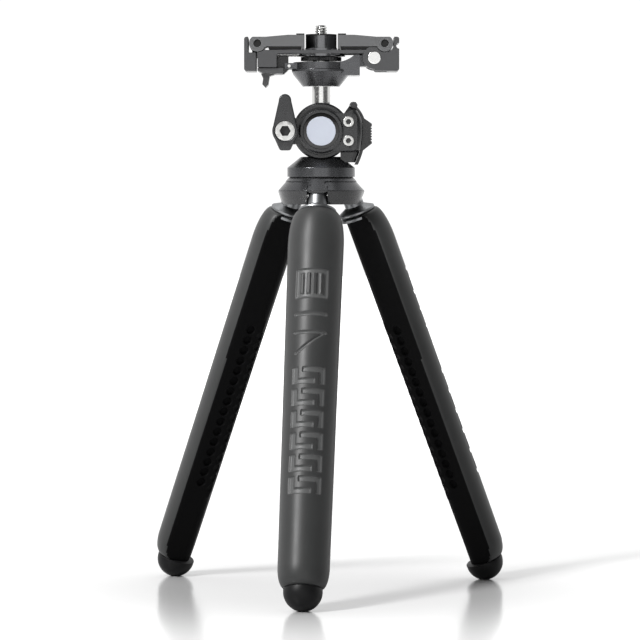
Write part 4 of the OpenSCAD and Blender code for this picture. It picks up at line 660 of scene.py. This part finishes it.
def round_edges(piece, width):
    """Rounds a new piece's edges and evens its shading."""
    bevel = piece.modifiers.new("rounded_edges", "BEVEL")
    bevel.width, bevel.segments, bevel.angle_limit = width * MM, 2, math.radians(35)
    piece.modifiers.new("even_shading", "WEIGHTED_NORMAL").keep_sharp = True


def lock_arc(radius, z0, z1, count):
    """Points on the thumb lock's side from height z0 to z1."""
    z = np.linspace(z0, z1, count)
    return np.stack([lock_side(radius, z), z], -1)


groove_z = RIB_LOW + RIB_PITCH * np.arange(RIB_COUNT)[:, None] + GROOVE_Z
groove_x = np.tile(REST_X - GROOVE_DEPTH * GROOVE_X, (RIB_COUNT, 1))
lock_outline = np.concatenate([
    lock_arc(LOCK_ARC_R + LOCK_T, LOCK_LOW, REST_LOW[0], 12), [[REST_X, REST_LOW[1]]],
    np.stack([groove_x.ravel(), groove_z.ravel()], -1), [[REST_X, REST_TOP[0]]],
    lock_arc(LOCK_ARC_R + LOCK_T, REST_TOP[1], OUTER_TOP, 8), LOCK_BEAK,
    lock_arc(LOCK_ARC_R, INNER_TOP, LOCK_LOW, 36)])
lock_points, lock_faces = extruded(lock_outline + [0, BALL_Z], -LOCK_HALF, LOCK_HALF)
thumb_lock = mesh_piece("thumb_lock_ribbed", lock_points, lock_faces, black_coat)
round_edges(thumb_lock, 0.15)
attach(thumb_lock, "thumb")
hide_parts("thumb_lock")

# Neck and plate base. A polished neck carries the dark turned plate base, with the
# hinge pin at its right and the sprung latch lever with its black catch at its left.
plate_grey = metal_material("grey_anodised", (0.045, 0.0455, 0.047), 0.36, metallic=0.3, grain=1200.0)
turned_dark = metal_material("turned_dark", (0.085, 0.086, 0.09), 0.27, metallic=0.85, grain=1200.0)
softened("ball_neck", polished_steel, 0.25, "head")
softened("plate_base", turned_dark, 0.3, "head")
softened("base_screw", polished_steel, 0.15, "head")
softened("hinge_pin", polished_steel, 0.35, "head")
finish_node("latch_pin", polished_steel)
finish_node("latch_spring", polished_steel)
softened("latch_lever", plate_grey, 0.3, "latch")
WHEEL_LIFT = 1.6
BASE_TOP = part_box("screw_wheel")[0][2] / MM - WHEEL_LIFT
CATCH_X0, CATCH_X1, CATCH_HALF, CATCH_LOW, CATCH_TOP, CATCH_ROUND = -22.9, -16.9, 3.9, -3.3, 3.7, 2.2
corner_turn = np.linspace(math.pi / 2, math.pi, 7)
catch_corner = np.stack([CATCH_X0 + CATCH_ROUND + CATCH_ROUND * np.cos(corner_turn),
                         CATCH_TOP - CATCH_ROUND + CATCH_ROUND * np.sin(corner_turn)], -1)
catch_outline = np.concatenate([[(CATCH_X0, CATCH_LOW), (CATCH_X1, CATCH_LOW), (CATCH_X1, CATCH_TOP)],
                                catch_corner])
catch_points, catch_faces = extruded(catch_outline + [0, BASE_TOP], -CATCH_HALF, CATCH_HALF)
catch = mesh_piece("latch_catch", catch_points, catch_faces, black_coat)
round_edges(catch, 0.2)
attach(catch, "latch")

# Camera plate. A grey anodised plate flips up on the hinge pin; the walls of its turned
# column and flange are darker polished metal, and a rubber pad caps the column.
pad_rubber = rubber_material("pad_rubber", (0.012, 0.012, 0.012), 0.55)
column_metal = metal_material("column_metal", (0.15, 0.151, 0.156), 0.2, grain=1200.0)
COLUMN_REACH, WALL_TILT = 12.8, 0.5
plate = softened("camera_plate", plate_grey, 0.3, "plate")
plate_reach = np.hypot(*face_rows(plate.data, "center").T[:2]) / MM
is_wall = np.abs(face_rows(plate.data, "normal")[:, 2]) < WALL_TILT
second_finish(plate, is_wall & (plate_reach < COLUMN_REACH), column_metal)
softened("centre_pad", pad_rubber, 0.15, "plate")

# Camera screw. A steel screw with a standard inch thread, captive in the column by its
# thinner shank, is turned by a knurled black wheel between the plate and its base.
SCREW_LOW, SCREW_TOP = (corner[2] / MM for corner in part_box("camera_screw"))
SCREW_R, SHANK_R, SCREW_TIP, SHANK_EASE = 3.175, 2.5, 0.6, 0.05
THREAD_SUNK, THREAD_PITCH, THREAD_DEPTH, GROOVE_SLOPE = 0.35, 1.27, 0.62, 2.6
THREAD_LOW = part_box("centre_pad")[1][2] / MM - THREAD_SUNK
RUN_IN, RUN_OUT = 0.5, (0.7, 0.1)
SCREW_SIDES, SCREW_RINGS = 72, 66


def threaded(points):
    """Sinks a V groove, one turn for each pitch, into the thread's length of a screw turned about Z."""
    x, y, z = points.T
    phase = (z / THREAD_PITCH - np.arctan2(y, x) / (2 * math.pi)) % 1
    groove = np.clip(1 - np.abs(phase - 0.5) * GROOVE_SLOPE, 0, 1)
    begun = smooth_step(z, THREAD_LOW, THREAD_LOW + RUN_IN)
    ended = smooth_step(z, SCREW_TOP - RUN_OUT[0], SCREW_TOP - RUN_OUT[1])
    radius = np.maximum(np.hypot(x, y), 1e-6)
    sunk = THREAD_DEPTH * groove * begun * (1 - ended)
    scale = np.where(radius > SHANK_R + SHANK_EASE, 1 - sunk / radius, 1)
    return np.stack([x * scale, y * scale, z], -1)


screw_profile = [(0, SCREW_LOW), (SHANK_R, SCREW_LOW), (SHANK_R, THREAD_LOW), (SCREW_R, THREAD_LOW)]
screw_heights = np.linspace(THREAD_LOW + SHANK_EASE, SCREW_TOP - SCREW_TIP, SCREW_RINGS)
screw_profile += [(SCREW_R, z) for z in screw_heights]
screw_profile += [(SCREW_R - SCREW_TIP, SCREW_TOP), (0, SCREW_TOP)]
screw_points, screw_faces = revolved(screw_profile, SCREW_SIDES)
screw = mesh_piece("camera_screw_threaded", threaded(screw_points), screw_faces, polished_steel)
screw.data.set_sharp_from_angle(angle=math.radians(50))
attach(screw, "screw")
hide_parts("camera_screw")

WHEEL_R, WHEEL_T, WHEEL_DROP, WHEEL_EDGE = 10.5, 1.1, 0.9, 0.2
WHEEL_RIDGES, RIDGE_DEPTH, RIDGE_POINTS = 72, 0.22, 4
HEAD_GAP = 0.4
head_room_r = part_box("base_screw")[1][0] / MM + HEAD_GAP
wheel_top = SCREW_LOW + WHEEL_T
wheel_low = SCREW_LOW - WHEEL_DROP
wheel_profile = [(0, SCREW_LOW), (head_room_r, SCREW_LOW), (head_room_r, wheel_low),
                 (WHEEL_R - WHEEL_EDGE, wheel_low), (WHEEL_R, wheel_low + WHEEL_EDGE),
                 (WHEEL_R, wheel_top - WHEEL_EDGE), (WHEEL_R - WHEEL_EDGE, wheel_top), (0, wheel_top)]
wheel_points, wheel_faces = revolved(wheel_profile, WHEEL_RIDGES * RIDGE_POINTS)
wheel_turn = np.arctan2(wheel_points[:, 1], wheel_points[:, 0])
knurl = 0.5 - 0.5 * np.cos(WHEEL_RIDGES * wheel_turn)
wheel_points[:, :2] *= (1 - RIDGE_DEPTH / WHEEL_R * knurl)[:, None]
wheel = mesh_piece("screw_wheel_knurled", wheel_points, wheel_faces, black_coat)
wheel.data.set_sharp_from_angle(angle=math.radians(40))
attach(wheel, "screw")
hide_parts("screw_wheel")

# Carrier. The left end slides out on rails inside the plate's bars, and two steel
# draw springs, wound close from thin wire, pull it back in.
softened("left_carrier", plate_grey, 0.3, "carrier")
SPRING_IN, SPRING_OUT, SPRING_Y, SPRING_Z = -10.9, -33.3, 7.35, 276.75
SPRING_R, SPRING_WIRE, SPRING_TURNS = 0.675, 0.35, 30
TURN_STEPS, COIL_SIDES = 14, 8
coil_t = np.linspace(0, 1, SPRING_TURNS * TURN_STEPS)
coil_turn = (2 * math.pi * SPRING_TURNS * coil_t)[:, None]
coil_section = np.arange(COIL_SIDES) * 2 * math.pi / COIL_SIDES
coil_out = SPRING_R + SPRING_WIRE / 2 * np.cos(coil_section)
coil_middle = SPRING_IN - SPRING_WIRE + (SPRING_OUT - SPRING_IN + 2 * SPRING_WIRE) * coil_t
coil = np.stack([coil_middle[:, None] + SPRING_WIRE / 2 * np.sin(coil_section), np.cos(coil_turn) * coil_out,
                 np.sin(coil_turn) * coil_out], -1).reshape(-1, 3)
coil_faces = [face[::-1] for face in capped_faces(len(coil_t), COIL_SIDES)]
for spring_name, spring_y in (("front", -SPRING_Y), ("back", SPRING_Y)):
    spring_points = coil + [0, spring_y, SPRING_Z]
    spring = mesh_piece(f"carrier_spring_{spring_name}", spring_points, coil_faces, polished_steel)
    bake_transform(spring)
    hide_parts("carrier_springs")

# Jaws. Two paler grey jaws fold flat over the plate on dark pins, one on the carrier and
# one on the plate; rubber on their tips and undersides holds a phone between them.
black_pin = metal_material("blackened_pin", (0.01, 0.01, 0.01), 0.3, metallic=0.6)
jaw_grey = metal_material("pale_anodised", (0.085, 0.086, 0.088), 0.36, metallic=0.3, grain=1200.0)
PAD_IN, PAD_OUT, PAD_HALF, PAD_LOW, PAD_HIGH = 10.2, 27.0, 12.6, 6.5, 7.9
for side, outward, carrier in (("left", -1, "carrier"), ("right", 1, "plate")):
    x0, x1 = sorted((outward * PAD_IN, outward * PAD_OUT))
    grip_outline = np.array([(x0, PAD_LOW), (x1, PAD_LOW), (x1, PAD_HIGH), (x0, PAD_HIGH)])
    grip_points, grip_faces = extruded(grip_outline + [0, BASE_TOP], -PAD_HALF, PAD_HALF)
    grip = mesh_piece(f"{side}_jaw_grip", grip_points, grip_faces, pad_rubber)
    round_edges(grip, 0.3)
    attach(grip, f"{side}_jaw")
    softened(f"{side}_jaw", jaw_grey, 0.4, f"{side}_jaw")
    softened(f"{side}_jaw_pads", pad_rubber, 0.15, f"{side}_jaw")
    softened(f"{side}_jaw_pin", black_pin, 0.2, carrier)
